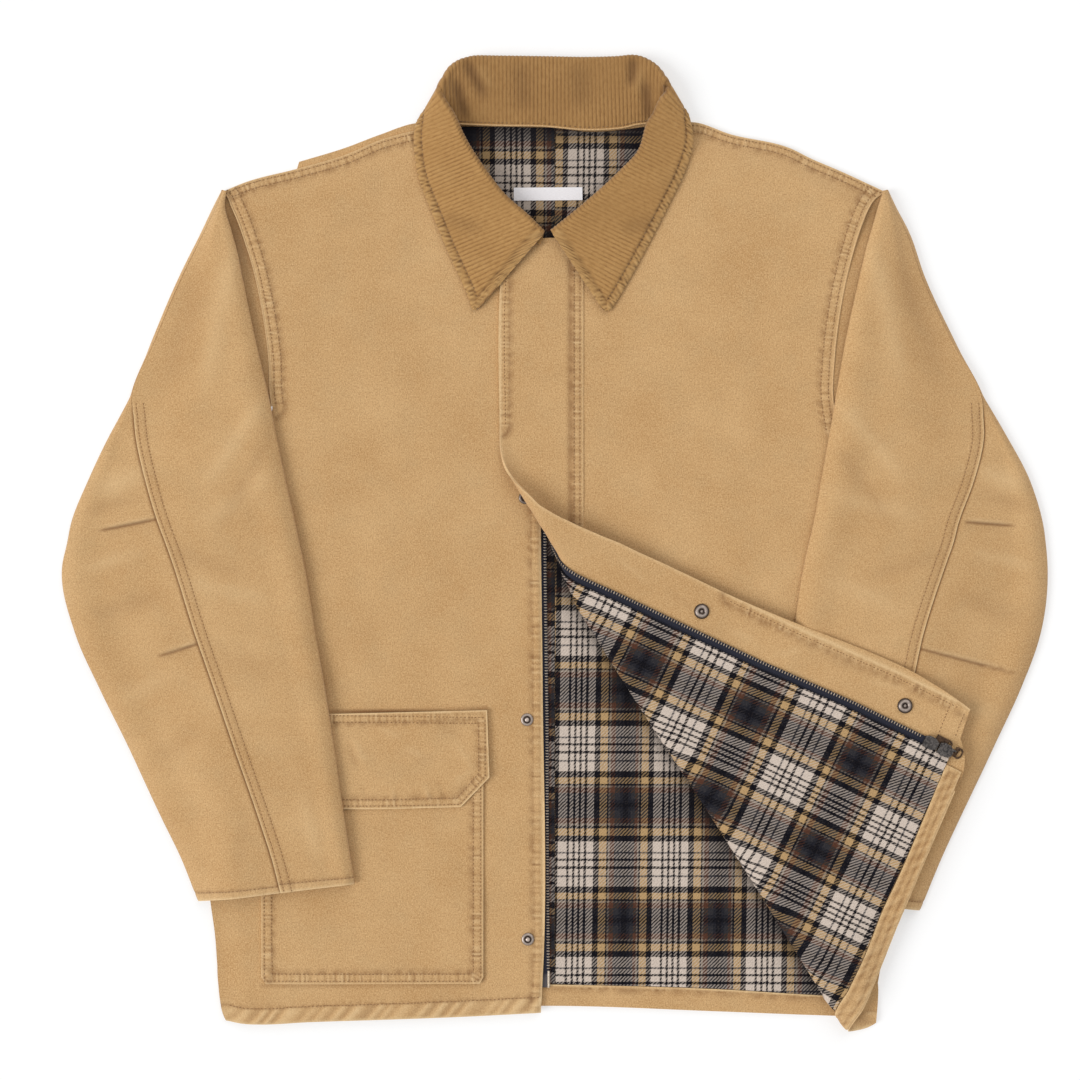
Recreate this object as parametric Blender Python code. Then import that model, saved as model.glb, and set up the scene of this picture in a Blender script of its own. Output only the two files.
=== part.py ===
"""Barn jacket laid flat, front up: the cut-and-sewn pieces as thin solids.

Lengths are millimetres, turned to metres when a mesh is made.  X runs to the
wearer's left, Y towards the collar, Z up off the surface the jacket lies on.
The left front's lower corner is turned back over the left sleeve.
"""
import math

import bmesh
import bpy
from mathutils import Matrix, Vector

NAME = "barn_jacket"
MM = 0.001
MIDDLE = Vector((0.0, 2.876, 0.0))       # brings the middle of the whole outline over the origin
SEAM = 0.3                       # air left between two pieces at a seam

# ------------------------------------------------------------------ cloth heights
CANVAS = 1.3
BACK_TOP = 1.4
LINING_LOW, LINING_TOP = 1.7, 3.2
FRONT_THICK = 2.2                # right front: canvas with its hidden lining
FRONT_TOP = 7.2                  # height of the right front where it lies flat
FRONT_DROP = 3.3                 # how far a front comes down to meet the back's edge
DROP_WIDTH = 26.0
LEFT_TOP = 9.2                   # height of the left front, clear of the right front's edge
SLEEVE_WALL = 1.2
COLLAR_WALL = 2.2

# ------------------------------------------------------------------ the turned-back corner
FOLD_POINT = (54.0, -108.0)
FOLD_ALONG = (0.53, -0.848)
FOLD_OUT = (-0.848, -0.53)       # square to the fold, towards the loose corner
FOLD_ROWS = (-27.0, -20.0, -13.0, -6.5, 0.0, 6.5, 13.0, 20.0, 27.0)
# distance along the fold, cloth length in the bend, height of the turned cloth above flat
FOLD_BEND = ((-190, 50, 24.0), (-120, 46, 21.5), (-40, 28, 17.5), (120, 26, 17.0),
             (230, 28, 18.2), (300, 30, 17.6), (350, 40, 15.0))

# ------------------------------------------------------------------ outlines (x, y)
BACK = ((-280, 296), (-267, 304), (-221, 314.6), (-218.5, 323), (-179, 335), (-150, 346),
        (-116.5, 356.4), (-100, 356.2), (-84, 353.6), (-50, 353), (-13, 352.4), (28, 349),
        (60, 351), (80, 354), (100, 356), (114.6, 355.6), (151, 345), (204, 332), (242, 314.6),
        (280, 296.5), (267, 286.5), (257, 254), (246, 210), (236.5, 157.5), (236, 119),
        (243, 95), (253, 72), (263, 46), (270, 24), (275, 12), (282, -2), (284, -51), (282, -200),
        (279, -360), (275, -384), (273, -409), (251, -407), (210, -405.5), (134, -402.5),
        (-12, -398), (-150, -405), (-279, -406), (-285, -391), (-289, -337), (-295, -289),
        (-295, -51), (-290, -2), (-280, 12), (-276, 24), (-264, 46), (-254, 72), (-246, 95),
        (-241, 114), (-242, 152), (-246, 195.5), (-255, 242), (-270, 277.5))
LINING_RIGHT = ((-0.2, 351.9), (-13, 352), (-50, 352.6), (-81, 353), (-80, 322), (-100, 312),
                (-150, 308), (-214, 286), (-244, 262), (-234, 195), (-229, 150), (-228, 112),
                (-240, 72), (-254, 30), (-266, -10), (-268, -289), (-262, -374), (-150, -378),
                (-0.2, -378.8))
LINING_LEFT = ((0.2, 351.8), (0.2, -378.9), (133.5, -382.6), (233, -388.4), (252, -389),
               (256, -360), (258, -200), (258, -10), (246, 30), (234, 72), (223, 112), (223, 157),
               (233, 210), (240, 254), (214, 288), (150, 308), (100, 314), (79, 322), (79.5, 353.2),
               (60, 350.4), (28, 348.4))
BACK_HEM = ((-256, -375), (-150, -378.6), (-7, -379.4), (133.5, -383.2), (233, -389), (252, -389.8),
            (252, -406.6), (210, -405), (134, -402), (-12, -397.6), (-150, -403), (-256, -404))
FRONT_RIGHT = ((-12, 252), (-12, 12), (-10.5, -127), (-9.6, -355), (-12, -403), (-80, -406.5),
               (-150, -409), (-210, -411), (-254, -413), (-268, -412.4), (-281, -410), (-284, -402),
               (-286, -391), (-288, -364), (-290, -337), (-294, -308), (-296, -289), (-296, -51),
               (-284, -12), (-276, 5), (-270, 25), (-262, 48), (-252, 72), (-244, 95),
               (-240.6, 114), (-242, 152), (-246, 195.5), (-255, 242), (-270, 277.5),
               (-280, 294), (-281, 297), (-267, 305), (-219.5, 315.8), (-214, 319.5),
               (-179, 328.5), (-148, 341.5), (-120.5, 349), (-100, 352), (-95, 343), (-84, 316),
               (-60, 286), (-34, 264))
FRONT_LEFT = ((23.4, 256.6), (58, 278), (84, 313), (96, 341), (101, 354.8), (114.6, 356.6),
              (151, 346), (204, 333), (215.6, 327), (242, 315.6), (281, 297.5), (268, 286.5),
              (259, 254), (248, 210), (237.5, 157.5), (236, 119.5), (240, 95), (248, 72),
              (256, 48), (263, 25), (267, 5), (274, -12), (285, -51), (283, -200), (280, -360),
              (275.6, -369), (276, -384), (275, -402), (274, -412), (269.5, -415), (258, -417.5),
              (243, -420), (225, -421.5), (190, -420), (140, -416), (80, -412.5), (23.4, -409.8))
LEFT_LINING = ((6.3, 238), (23, 240), (60, 256), (84, 286), (112, 308), (150, 302), (204, 284),
               (222, 262), (222, 210), (212, 157), (210, 112), (222, 40), (242, -20), (250, -51),
               (250, -200), (244, -290), (230, -340), (227, -380), (234, -401.8), (216, -402.0), (180, -401.1),
               (141, -398.0), (114, -397.6), (6.3, -392.2))
LEFT_HEM = ((6.3, -393), (114, -398.5), (141, -398.9), (180, -402), (216, -402.9), (246, -402.5),
            (246, -418), (225, -420), (190, -418.5), (140, -414.6), (80, -411.2),
            (6.3, -407.4))
PLACKET = ((-44, 250.5), (-47, 212), (-47, 80), (-46.6, -160), (-46, -384), (-44.6, -391),
           (-18.7, -394.4), (-8, -403.5), (4, -408.6), (22.6, -409.6), (22.6, 256.2), (-7, 254))
TAPE_LEFT = ((-7.6, 244), (-7.6, -364.8), (6, -364.8), (6, 244))
TAPE_RIGHT = ((-24, 238), (-24, -379), (-8, -379), (-8, 238))
LABEL = ((-35.1, 289.5), (23.5, 290), (23.4, 301), (-35.1, 300.6))
POCKET = ((-250, -158), (-61, -158), (-61, -372), (-64, -377.6), (-155, -378), (-246, -378),
          (-250, -372))
FLAP = ((-254, -145), (-156, -147), (-57, -148), (-57, -202), (-80, -227.5), (-155, -229),
        (-230, -228), (-254, -203))

# ------------------------------------------------------------------ sleeves
# outer edge, inner edge, elbow seam as distance from the middle; height of the upper cloth at
# the inner edge; height of the cloth turned under; then where that turned cloth ends
SLEEVE_COLUMNS = ("outer_x", "outer_y", "inner_x", "inner_y", "seam_x", "top", "under", "end_x",
                  "state")
RIGHT_SLEEVE = (
    (290.5, 285, 281.6, 285, 287.5, 9.8, 6.9, 275.8, "tucked"),
    (301, 263, 276, 263, 298, 12.0, 8.4, 264.4, "tucked"),
    (320, 225, 267, 225, 317, 13.8, 9.6, 252.0, "tucked"),
    (343, 172, 255.5, 172, 340, 14.4, 9.8, 244.2, "tucked"),
    (363.5, 119.5, 243.5, 119.5, 360.5, 15.0, 10.0, 241.1, "tucked"),
    (371, 105, 240.5, 105, 359, 15.3, 10.3, 252, "opening"),
    (379, 90, 237.5, 90, 357.5, 15.5, 10.6, 264, "turning"),
    (397, 52, 229.5, 52, 349, 15.8, 10.8, 289, "flat"),
    (412.5, 14, 221, 14, 337.5, 15.9, 10.9, 281, "flat"),
    (416, -3, 217.5, -3, 331, 16.0, 11.0, 277, "over"),
    (420, -21, 213.5, -21, 324.5, 16.2, 11.2, 273, "over"),
    (409, -79, 203.8, -79, 306, 17.0, 12.0, 264, "over"),
    (388, -127, 195.5, -127, 289, 18.6, 13.6, 256, "over"),
    (363.5, -176, 187.5, -177, 272, 19.0, 14.0, 248, "over"),
    (334, -240, 178.5, -240, 250, 18.8, 13.9, 239, "over"),
    (318, -273, 174, -270, 240, 18.0, 13.1, 234, "over"),
    (304, -308, 170.5, -292, 233, 16.6, 11.9, 231, "over"))
LEFT_SLEEVE = (
    (289.5, 286, 280.6, 286, 286.5, 10.2, 7.0, 268.6, "tucked"),
    (301.5, 263, 276, 263, 298.5, 13.2, 9.4, 262.2, "tucked"),
    (315, 225, 267, 225, 312, 15.8, 12.0, 252.2, "tucked"),
    (340, 172, 255.5, 172, 337, 16.4, 12.1, 241.3, "tucked"),
    (367, 119.5, 243.5, 119.5, 364, 16.6, 12.1, 236.9, "tucked"),
    (375.5, 105, 240.5, 105, 365, 16.6, 12.1, 250, "opening"),
    (384, 90, 237.5, 90, 365.5, 16.6, 12.0, 262, "turning"),
    (404, 52, 229.5, 52, 357, 16.5, 11.8, 287, "flat"),
    (416, 14, 220, 14, 343, 16.4, 11.7, 278, "flat"),
    (418.5, -3, 216, -3, 338.5, 16.4, 11.5, 268, "over"),
    (420, -21, 212, -21, 332, 16.5, 11.6, 266, "over"),
    (414, -79, 203, -79, 313, 16.5, 11.6, 258, "over"),
    (397, -127, 197, -127, 302, 16.5, 11.6, 250, "over"),
    (374, -176, 194, -177, 286, 16.4, 11.5, 243, "over"),
    (344, -240, 194, -240, 262, 16.2, 11.3, 236, "over"),
    (328, -275, 194, -273, 248, 16.0, 11.2, 233, "over"),
    (311, -316, 193, -298, 240, 15.6, 11.0, 230, "over"))
BODY_EDGE = {-1: 303.0, 1: 293.0}       # where the cloth under a sleeve starts to climb the body
CLIMB = 16.0
TUCK = 3.6                              # between the two cloths of the tuck at the armhole
SLEEVE_REST = 0.7                       # height of the cloth lying on the surface
SLEEVE_LOW = 5.8                        # height of the upper cloth beyond the body

# ------------------------------------------------------------------ collar
# station by station: neck seam, roll, leaf edge, each (x, y, z); from the right front's end
# round the back of the neck to the left front's end
COLLAR = (
    ((-13, 250.5, 12.6), (-12.0, 262, 15.6), (-68, 197.5, 9.3)),
    ((-34, 262.5, 11.6), (-24, 276, 17.2), (-76, 212, 9.2)),
    ((-52, 276, 10.6), (-45, 295, 17.6), (-92, 247, 9.2)),
    ((-72, 299, 10.0), (-66, 323, 17.8), (-105, 279, 9.2)),
    ((-86, 320, 9.4), (-78, 343, 17.8), (-116, 308, 9.0)),
    ((-93, 338, 8.6), (-86, 361, 17.2), (-120, 334, 8.8)),
    ((-95, 347, 7.2), (-98, 382, 14.8), (-119, 352, 8.8)),
    ((-92, 353.4, 5.6), (-93, 396, 12.4), (-113, 362, 5.6)),
    ((-84, 355.4, 4.8), (-86, 405, 10.2), (-98, 366, 2.4)),
    ((-72, 355, 4.4), (-72, 411, 9.0), (-76, 361, 1.4)),
    ((-46, 354.2, 4.2), (-46, 411.5, 8.0), (-46, 358.6, 1.3)),
    ((-10, 353.6, 4.2), (-10, 411, 7.8), (-10, 358.2, 1.3)),
    ((25, 350.6, 4.2), (24, 410.5, 7.8), (25, 358, 1.3)),
    ((54, 351.8, 4.2), (52, 411, 8.0), (53, 358.4, 1.3)),
    ((70, 355, 4.4), (69, 412, 9.0), (73, 361, 1.4)),
    ((82, 356, 4.8), (84, 405, 10.2), (97, 366, 2.4)),
    ((91, 354, 5.8), (92, 395, 12.6), (112, 363, 5.8)),
    ((95, 348, 7.8), (95, 384, 15.4), (116, 353, 9.8)),
    ((94, 338, 10.2), (80, 357, 18.2), (117.5, 336, 11.2)),
    ((84, 316, 11.2), (72, 331, 19.0), (110, 312, 11.3)),
    ((66, 293, 11.8), (57, 314, 19.2), (98, 287, 11.3)),
    ((48, 275, 12.2), (40, 298, 19.0), (80, 252, 11.3)),
    ((26, 260, 12.8), (18, 279, 18.6), (59, 214, 11.4)),
    ((3, 250.5, 13.2), (-3.5, 262, 16.4), (45, 195, 11.6)))
ROLL_RADIUS = 2.5

# ------------------------------------------------------------------ hard pieces
STUDS = ((-23.8, -153.0), (-23.1, -340.0), (-25.5, 36.0))
SOCKETS = ((-23.8, -153.0), (-23.1, -340.0))
STUD_RADIUS = 5.4
SOCKET_RADIUS = 6.0
SLIDERS = (-372.7, -386.5)              # flat Y of the two slider bodies
SLIDER_X = -4.3


def clear_scene():
    for obj in list(bpy.data.objects):
        bpy.data.objects.remove(obj, do_unlink=True)
    for group in list(bpy.data.collections):
        bpy.data.collections.remove(group)


def smooth(low, high, value):
    """0 below low, 1 above high, eased between."""
    t = max(0.0, min(1.0, (value - low) / (high - low)))
    return t * t * (3.0 - 2.0 * t)


def mix(a, b, t):
    return a + (b - a) * t


def read_row(table, value):
    """The later columns of a table at a value of its first column."""
    if value <= table[0][0]:
        return table[0][1:]
    for low, high in zip(table, table[1:]):
        if value <= high[0]:
            t = (value - low[0]) / (high[0] - low[0])
            return tuple(mix(a, b, t) for a, b in zip(low[1:], high[1:]))
    return table[-1][1:]


def edge_distance(x, y, line):
    """Distance from a point to an open line of points."""
    best = 1e9
    for (ax, ay), (bx, by) in zip(line, line[1:]):
        dx, dy = bx - ax, by - ay
        t = max(0.0, min(1.0, ((x - ax) * dx + (y - ay) * dy) / (dx * dx + dy * dy)))
        best = min(best, math.hypot(x - ax - t * dx, y - ay - t * dy))
    return best


# ------------------------------------------------------------------ the shapes cloth lies in
RIGHT_SIDE = ((-281, -410), (-288, -364), (-296, -289), (-296, -51), (-284, -12))
RIGHT_SHOULDER = ((-281, 297), (-267, 305), (-219, 316), (-179, 328.5), (-148, 341.5),
                  (-100, 352))
LEFT_SIDE = ((269, -415), (276, -384), (280, -360), (285, -51), (274, -12))
LEFT_SHOULDER = ((97, 354.6), (151, 346), (204, 333), (242, 315.6), (281, 297.5))
HEM_DROP = 0.4


def puff(x, y):
    """The low swell of a front panel lying over the back."""
    across = math.cos((abs(x) - 165.0) / 236.0 * math.pi)
    along = 0.6 + 0.4 * math.cos((y + 60.0) / 420.0 * math.pi)
    return 1.3 * max(0.0, across) * along


def right_height(x, y):
    side = edge_distance(x, y, RIGHT_SIDE)
    shoulder = edge_distance(x, y, RIGHT_SHOULDER)
    drop = 1.0 - smooth(0, DROP_WIDTH, min(side, shoulder))
    hem = 1.0 - smooth(-410, -370, y)
    low = max(FRONT_DROP * drop, HEM_DROP * hem)
    return FRONT_TOP + puff(x, y) * (1.0 - drop) - low


def left_flat_height(x, y):
    side = edge_distance(x, y, LEFT_SIDE)
    shoulder = edge_distance(x, y, LEFT_SHOULDER)
    drop = 1.0 - smooth(0, DROP_WIDTH, min(side, shoulder))
    swell = puff(x, y) * (1.0 - drop) if x > 0 else 0.0
    return LEFT_TOP + swell - (LEFT_TOP - LINING_LOW - CANVAS) * drop


def fold_place(x, y):
    """Distance past the fold line and distance along it."""
    dx, dy = x - FOLD_POINT[0], y - FOLD_POINT[1]
    return (dx * FOLD_OUT[0] + dy * FOLD_OUT[1], dx * FOLD_ALONG[0] + dy * FOLD_ALONG[1])


def fold_point(out, along):
    return (FOLD_POINT[0] + out * FOLD_OUT[0] + along * FOLD_ALONG[0],
            FOLD_POINT[1] + out * FOLD_OUT[1] + along * FOLD_ALONG[1])


SLEEVE_SHORE = ((226, 60), (217, 14), (203, -79), (194, -177), (193, -273), (192, -298))


def turned_height(x, y):
    """Height of the turned-back cloth's outer face, which now looks down."""
    out, along = fold_place(x, y)
    start = read_row(FOLD_BEND, along)[1]
    inner = read_row(tuple(sorted((py, px) for px, py in SLEEVE_SHORE)), y)[0]
    cuff = mix(-296, -318, smooth(170, 312, x))
    depth = min(x - inner, y - cuff)
    on_sleeve = smooth(-60, 30, depth)
    base = mix(start, 18.7, on_sleeve)
    overhang = smooth(252, 290, x) * (1.0 - on_sleeve)
    return base - 6.0 * overhang


def left_surface_raw(out, along):
    bend = read_row(FOLD_BEND, along)[0]
    half = bend / 2.0
    if out <= -half:
        x, y = fold_point(out, along)
        return Vector((x, y, left_flat_height(x, y)))
    if out >= half:
        x, y = fold_point(-out, along)
        return Vector((x, y, turned_height(x, y)))
    bx, by = fold_point(-half, along)
    low, high = left_flat_height(bx, by), turned_height(bx, by)
    rise = (high - low) / 2.0
    reach = max(rise * 0.7, (bend - rise * 1.25) * 0.5)
    angle = math.pi * (out + half) / bend
    x, y = fold_point(-half + reach * math.sin(angle), along)
    return Vector((x, y, (low + high) / 2.0 - rise * math.cos(angle)))


def lifted_left(out, along, lift):
    step = 1.5
    du = left_surface_raw(out + step, along) - left_surface_raw(out - step, along)
    dv = left_surface_raw(out, along + step) - left_surface_raw(out, along - step)
    normal = dv.cross(du).normalized()
    if FOLD_ALONG[0] * FOLD_OUT[1] - FOLD_ALONG[1] * FOLD_OUT[0] < 0:
        normal = -normal
    return left_surface_raw(out, along) + normal * lift


def on_left(x, y, lift):
    """A point of the left front, turned back past the fold; lift is out from its face."""
    out, along = fold_place(x, y)
    if FOLD_ROWS[0] < out < FOLD_ROWS[-1]:
        for low, high in zip(FOLD_ROWS, FOLD_ROWS[1:]):
            if low <= out <= high:
                return lifted_left(low, along, lift).lerp(lifted_left(high, along, lift),
                                                          (out - low) / (high - low))
    return lifted_left(out, along, lift)


def on_right(x, y, lift):
    return Vector((x, y, right_height(x, y) + lift))


def on_table(x, y, lift):
    return Vector((x, y, lift))


# ------------------------------------------------------------------ building
def straight_grid(step_x, step_y, shift_x=0.0, shift_y=0.0):
    lines = [((x * step_x + shift_x, 0), (1, 0)) for x in range(-10, 11)]
    return lines + [((0, y * step_y + shift_y), (0, 1)) for y in range(-10, 11)]


def fold_grid(step):
    rows = list(FOLD_ROWS)
    rows += [sign * (27.0 + step * n) for sign in (-1, 1) for n in range(1, 10)]
    lines = [(fold_point(out, 0), FOLD_OUT) for out in rows]
    return lines + [(fold_point(0, along * step), FOLD_ALONG) for along in range(-10, 11)]


def edge_cuts(point, inward):
    """Cuts along a sloping edge, so the cloth bends down where it meets the back."""
    return [((point[0] + inward[0] * d, point[1] + inward[1] * d), inward)
            for d in (DROP_WIDTH * 0.33, DROP_WIDTH * 0.67, DROP_WIDTH)]


def finish(name, bm, colour, rough=0.9, metal=0.0):
    for vert in bm.verts:
        vert.co = (vert.co + MIDDLE) * MM
    bmesh.ops.recalc_face_normals(bm, faces=bm.faces)
    mesh = bpy.data.meshes.new(name)
    bm.to_mesh(mesh)
    bm.free()
    material = bpy.data.materials.new(name)
    material.use_nodes = True
    shader = material.node_tree.nodes["Principled BSDF"]
    shader.inputs["Base Color"].default_value = (*colour, 1.0)
    shader.inputs["Roughness"].default_value = rough
    shader.inputs["Metallic"].default_value = metal
    mesh.materials.append(material)
    obj = bpy.data.objects.new(name, mesh)
    GROUP.objects.link(obj)
    return obj


def thickened(flat, lower_place, upper_place):
    """A flat triangle mesh laid at two heights and closed round every rim."""
    flat.verts.index_update()
    corners = [(v.co.x, v.co.y) for v in flat.verts]
    faces = [[v.index for v in f.verts] for f in flat.faces]
    rims = [(e.verts[0].index, e.verts[1].index) for e in flat.edges if len(e.link_faces) == 1]
    flat.free()
    bm = bmesh.new()
    upper = [bm.verts.new(upper_place(x, y)) for x, y in corners]
    lower = [bm.verts.new(lower_place(x, y)) for x, y in corners]
    for face in faces:
        bm.faces.new([upper[i] for i in face])
        bm.faces.new([lower[i] for i in reversed(face)])
    for a, b in rims:
        bm.faces.new((upper[a], upper[b], lower[b]))
        bm.faces.new((upper[a], lower[b], lower[a]))
    return bm


def sheet(name, outline, grid, place, low, high, colour):
    """A flat outline cut along a grid and laid on a surface between two lifts."""
    flat = bmesh.new()
    flat.faces.new([flat.verts.new((x, y, 0)) for x, y in outline])
    for point, normal in grid:
        bmesh.ops.bisect_plane(flat, geom=flat.verts[:] + flat.edges[:] + flat.faces[:], dist=0.05,
                               plane_co=(*point, 0), plane_no=(*normal, 0))
    bmesh.ops.remove_doubles(flat, verts=flat.verts, dist=0.4)
    bmesh.ops.triangulate(flat, faces=flat.faces)
    bm = thickened(flat, lambda x, y: place(x, y, low), lambda x, y: place(x, y, high))
    return finish(name, bm, colour)


def loft(name, rows, wall, colour):
    """Rows of points down the middle of a cloth, given a wall and closed at its edges."""
    count, width = len(rows), len(rows[0])

    def normal(i, j):
        along = rows[min(i + 1, count - 1)][j] - rows[max(i - 1, 0)][j]
        across = rows[i][min(j + 1, width - 1)] - rows[i][max(j - 1, 0)]
        return along.cross(across).normalized()

    bm = bmesh.new()
    sides = []
    for sign in (0.5, -0.5):
        sides.append([[bm.verts.new(rows[i][j] + normal(i, j) * wall * sign)
                       for j in range(width)] for i in range(count)])
    for side in sides:
        for i in range(count - 1):
            for j in range(width - 1):
                a, b = side[i][j], side[i][j + 1]
                c, d = side[i + 1][j + 1], side[i + 1][j]
                bm.faces.new((a, b, c))
                bm.faces.new((a, c, d))
    rim = [(i, 0) for i in range(count)] + [(count - 1, j) for j in range(1, width)]
    rim += [(i, width - 1) for i in range(count - 2, -1, -1)]
    rim += [(0, j) for j in range(width - 2, 0, -1)]
    for (i, j), (k, l) in zip(rim, rim[1:] + rim[:1]):
        a, b = sides[0][i][j], sides[0][k][l]
        c, d = sides[1][k][l], sides[1][i][j]
        bm.faces.new((a, b, c))
        bm.faces.new((a, c, d))
    return finish(name, bm, colour)


# ------------------------------------------------------------------ sleeves
def sleeve_rows(side, table):
    """Middle lines of the outer and inner panel of one sleeve, station by station."""
    outer_rows, inner_rows = [], []
    edge = BODY_EDGE[side]
    for values in table:
        row = dict(zip(SLEEVE_COLUMNS, values))
        ox, ix = row["outer_x"], row["inner_x"]

        def point(d, z, row=row):
            t = (row["outer_x"] - d) / (row["outer_x"] - row["inner_x"])
            return Vector((side * d, mix(row["outer_y"], row["inner_y"], t), z))

        def upper(d, row=row):
            crest = max(row["inner_x"] + 12.0, 280.0)
            start = SLEEVE_LOW if row["state"] != "tucked" else min(SLEEVE_LOW, row["top"] - 2)
            rise = (row["outer_x"] - d) / max(6.0, row["outer_x"] - crest)
            return mix(start, row["top"], smooth(0, 1, rise))

        def under(d, row=row):
            climb = smooth(0, 1, (edge - d) / CLIMB) if row["state"] == "over" else 0.0
            return mix(SLEEVE_REST, row["under"], climb)

        width = ox - ix
        turn = min(4.0, width * 0.25)
        seam = row["seam_x"]
        top_out = ox - turn
        seam_out = min(seam + 0.2, ox - 0.2)
        folded = seam_out > top_out - 1.0
        low, high = under(ox - turn), upper(seam_out if folded else top_out)
        if folded:
            outer = [point(mix(seam_out, ox, t), mix(high, low, 0.45 * t))
                     for t in (0.0, 0.3, 0.6, 0.8)]
        else:
            crest = max(mix(seam_out, top_out, 0.3), min(282.0, mix(seam_out, top_out, 0.75)))
            outer = [point(d, upper(d)) for d in (seam_out, crest, mix(crest, top_out, 0.5),
                                                  top_out)]
        outer += [point(ox, mix(low, high, 0.45)), point(ox - turn, low)]
        if row["state"] == "over":
            start = min(edge + 1.0, ox - turn - 3.0)
            stops = [mix(ox - turn, start, 0.5), start, min(edge - CLIMB, start - 6.0),
                     row["end_x"] + 0.4]
        else:
            back_edge = ARMHOLE_UNDER[side].get(row["outer_y"], row["end_x"] + 0.1)
            stops = [mix(ox - turn, back_edge, t) for t in (0.35, 0.6, 0.85, 1.0)]
        outer += [point(d, under(d)) for d in stops]
        outer_rows.append(outer)

        seam_in = seam - (1.0 if folded else 0.2)
        crown = ix + turn
        inner = [point(mix(seam_in, crown, t), upper(mix(seam_in, crown, t)))
                 for t in (0.0, 0.2, 0.45, 0.72, 1.0)]
        z = row["under"]
        inner += [point(ix, mix(z, row["top"], 0.5)), point(crown, z)]
        if row["state"] == "tucked":
            back = ix + min(18.0, width * 0.55)
            inner += [point(mix(crown, back, 0.5), z), point(back, z),
                      point(back + 1.6, z - TUCK / 2), point(back, z - TUCK),
                      point(mix(back, row["end_x"], 0.5), z - TUCK),
                      point(row["end_x"], z - TUCK)]
        elif row["state"] == "opening":
            inner += [point(ix + d, z - drop) for d, drop in
                      ((11, 0), (18.5, 0), (20.8, 1.4), (21.0, 3.0), (17.5, 4.2), (12, 4.5))]
        elif row["state"] == "turning":
            inner += [point(ix + 12, z), point(ix + 20, z), point(ix + 23, z - 0.8),
                      point(ix + 25, z - 2.0), point(ix + 26.4, z - 3.2),
                      point(ix + 27.6, z - 4.4)]
        else:
            inner += [point(mix(crown, row["end_x"], t), z) for t in (0.2, 0.4, 0.5, 0.6, 0.8, 1.0)]
        inner_rows.append(inner)
    return outer_rows, inner_rows


# where the cloth on the surface meets the back's armhole at the hidden stations
ARMHOLE_UNDER = {-1: {105: 245.4, 90: 250.0, 52: 264.0, 14: 284.0},
                 1: {105: 241.6, 90: 247.0, 52: 263.0, 14: 279.0}}


# ------------------------------------------------------------------ collar
def collar_rows():
    """Neck seam to roll as the stand, then roll to edge as the leaf on its outer side."""
    rows = []
    for i, (neck, roll, edge) in enumerate(COLLAR):
        neck, roll, edge = Vector(neck), Vector(roll), Vector(edge)
        before, after = COLLAR[max(i - 1, 0)][1], COLLAR[min(i + 1, len(COLLAR) - 1)][1]
        crown = (roll - neck).normalized()
        out = crown.cross(Vector(after) - Vector(before)).normalized()
        centre = roll - crown * ROLL_RADIUS
        under, top = centre - out * ROLL_RADIUS, centre + out * ROLL_RADIUS
        row = [neck.lerp(under, t) for t in (0.0, 0.35, 0.7, 1.0)]
        row += [roll] + [top.lerp(edge, t) for t in (0.0, 0.33, 0.66, 1.0)]
        rows.append(row)
    return rows


# ------------------------------------------------------------------ hard pieces
def frame_at(place, x, y, lift):
    """A point on a cloth and its own across, along and outward directions."""
    centre = place(x, y, lift)
    across = (place(x + 3, y, lift) - place(x - 3, y, lift)).normalized()
    along = (place(x, y + 3, lift) - place(x, y - 3, lift)).normalized()
    normal = across.cross(along).normalized()
    along = normal.cross(across)
    return centre, across, along, normal


def turned(name, frame, profile, sides, colour):
    """A round piece from (radius, height) steps about the frame's outward direction."""
    centre, across, along, normal = frame
    bm = bmesh.new()
    rings = []
    for radius, height in profile:
        if radius < 1e-6:
            rings.append([bm.verts.new(centre + normal * height)])
            continue
        rings.append([bm.verts.new(centre + normal * height
                                   + across * (radius * math.cos(2 * math.pi * k / sides))
                                   + along * (radius * math.sin(2 * math.pi * k / sides)))
                      for k in range(sides)])
    for low, high in zip(rings, rings[1:]):
        for k in range(sides):
            n = (k + 1) % sides
            if len(low) == 1:
                bm.faces.new((low[0], high[k], high[n]))
            elif len(high) == 1:
                bm.faces.new((low[k], low[n], high[0]))
            else:
                bm.faces.new((low[k], low[n], high[n], high[k]))
    return finish(name, bm, colour, 0.4, 1.0)


def extruded(name, frame, loops, low, high):
    """A plate between two heights: the first loop is its outline, the others are holes."""
    centre, across, along, normal = frame
    flat = bmesh.new()
    for loop in loops:
        verts = [flat.verts.new((x, y, 0)) for x, y in loop]
        for a, b in zip(verts, verts[1:] + verts[:1]):
            flat.edges.new((a, b))
    bmesh.ops.triangle_fill(flat, use_beauty=True, edges=flat.edges[:])

    def at(height):
        return lambda x, y: centre + across * x + along * y + normal * height

    return finish(name, thickened(flat, at(low), at(high)), METAL, 0.4, 1.0)


def joined(obj, extra):
    """One solid of two that overlap."""
    union = obj.modifiers.new("union", "BOOLEAN")
    union.operation = "UNION"
    union.object = extra
    extra.hide_render = True
    extra.display_type = "WIRE"
    GROUP.objects.unlink(extra)
    CUTTERS.objects.link(extra)


TAN = (0.60, 0.39, 0.17)
CORD = (0.42, 0.25, 0.09)
PLAID = (0.30, 0.24, 0.18)
NAVY = (0.02, 0.025, 0.05)
WHITE = (0.75, 0.72, 0.72)
METAL = (0.16, 0.14, 0.13)

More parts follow.
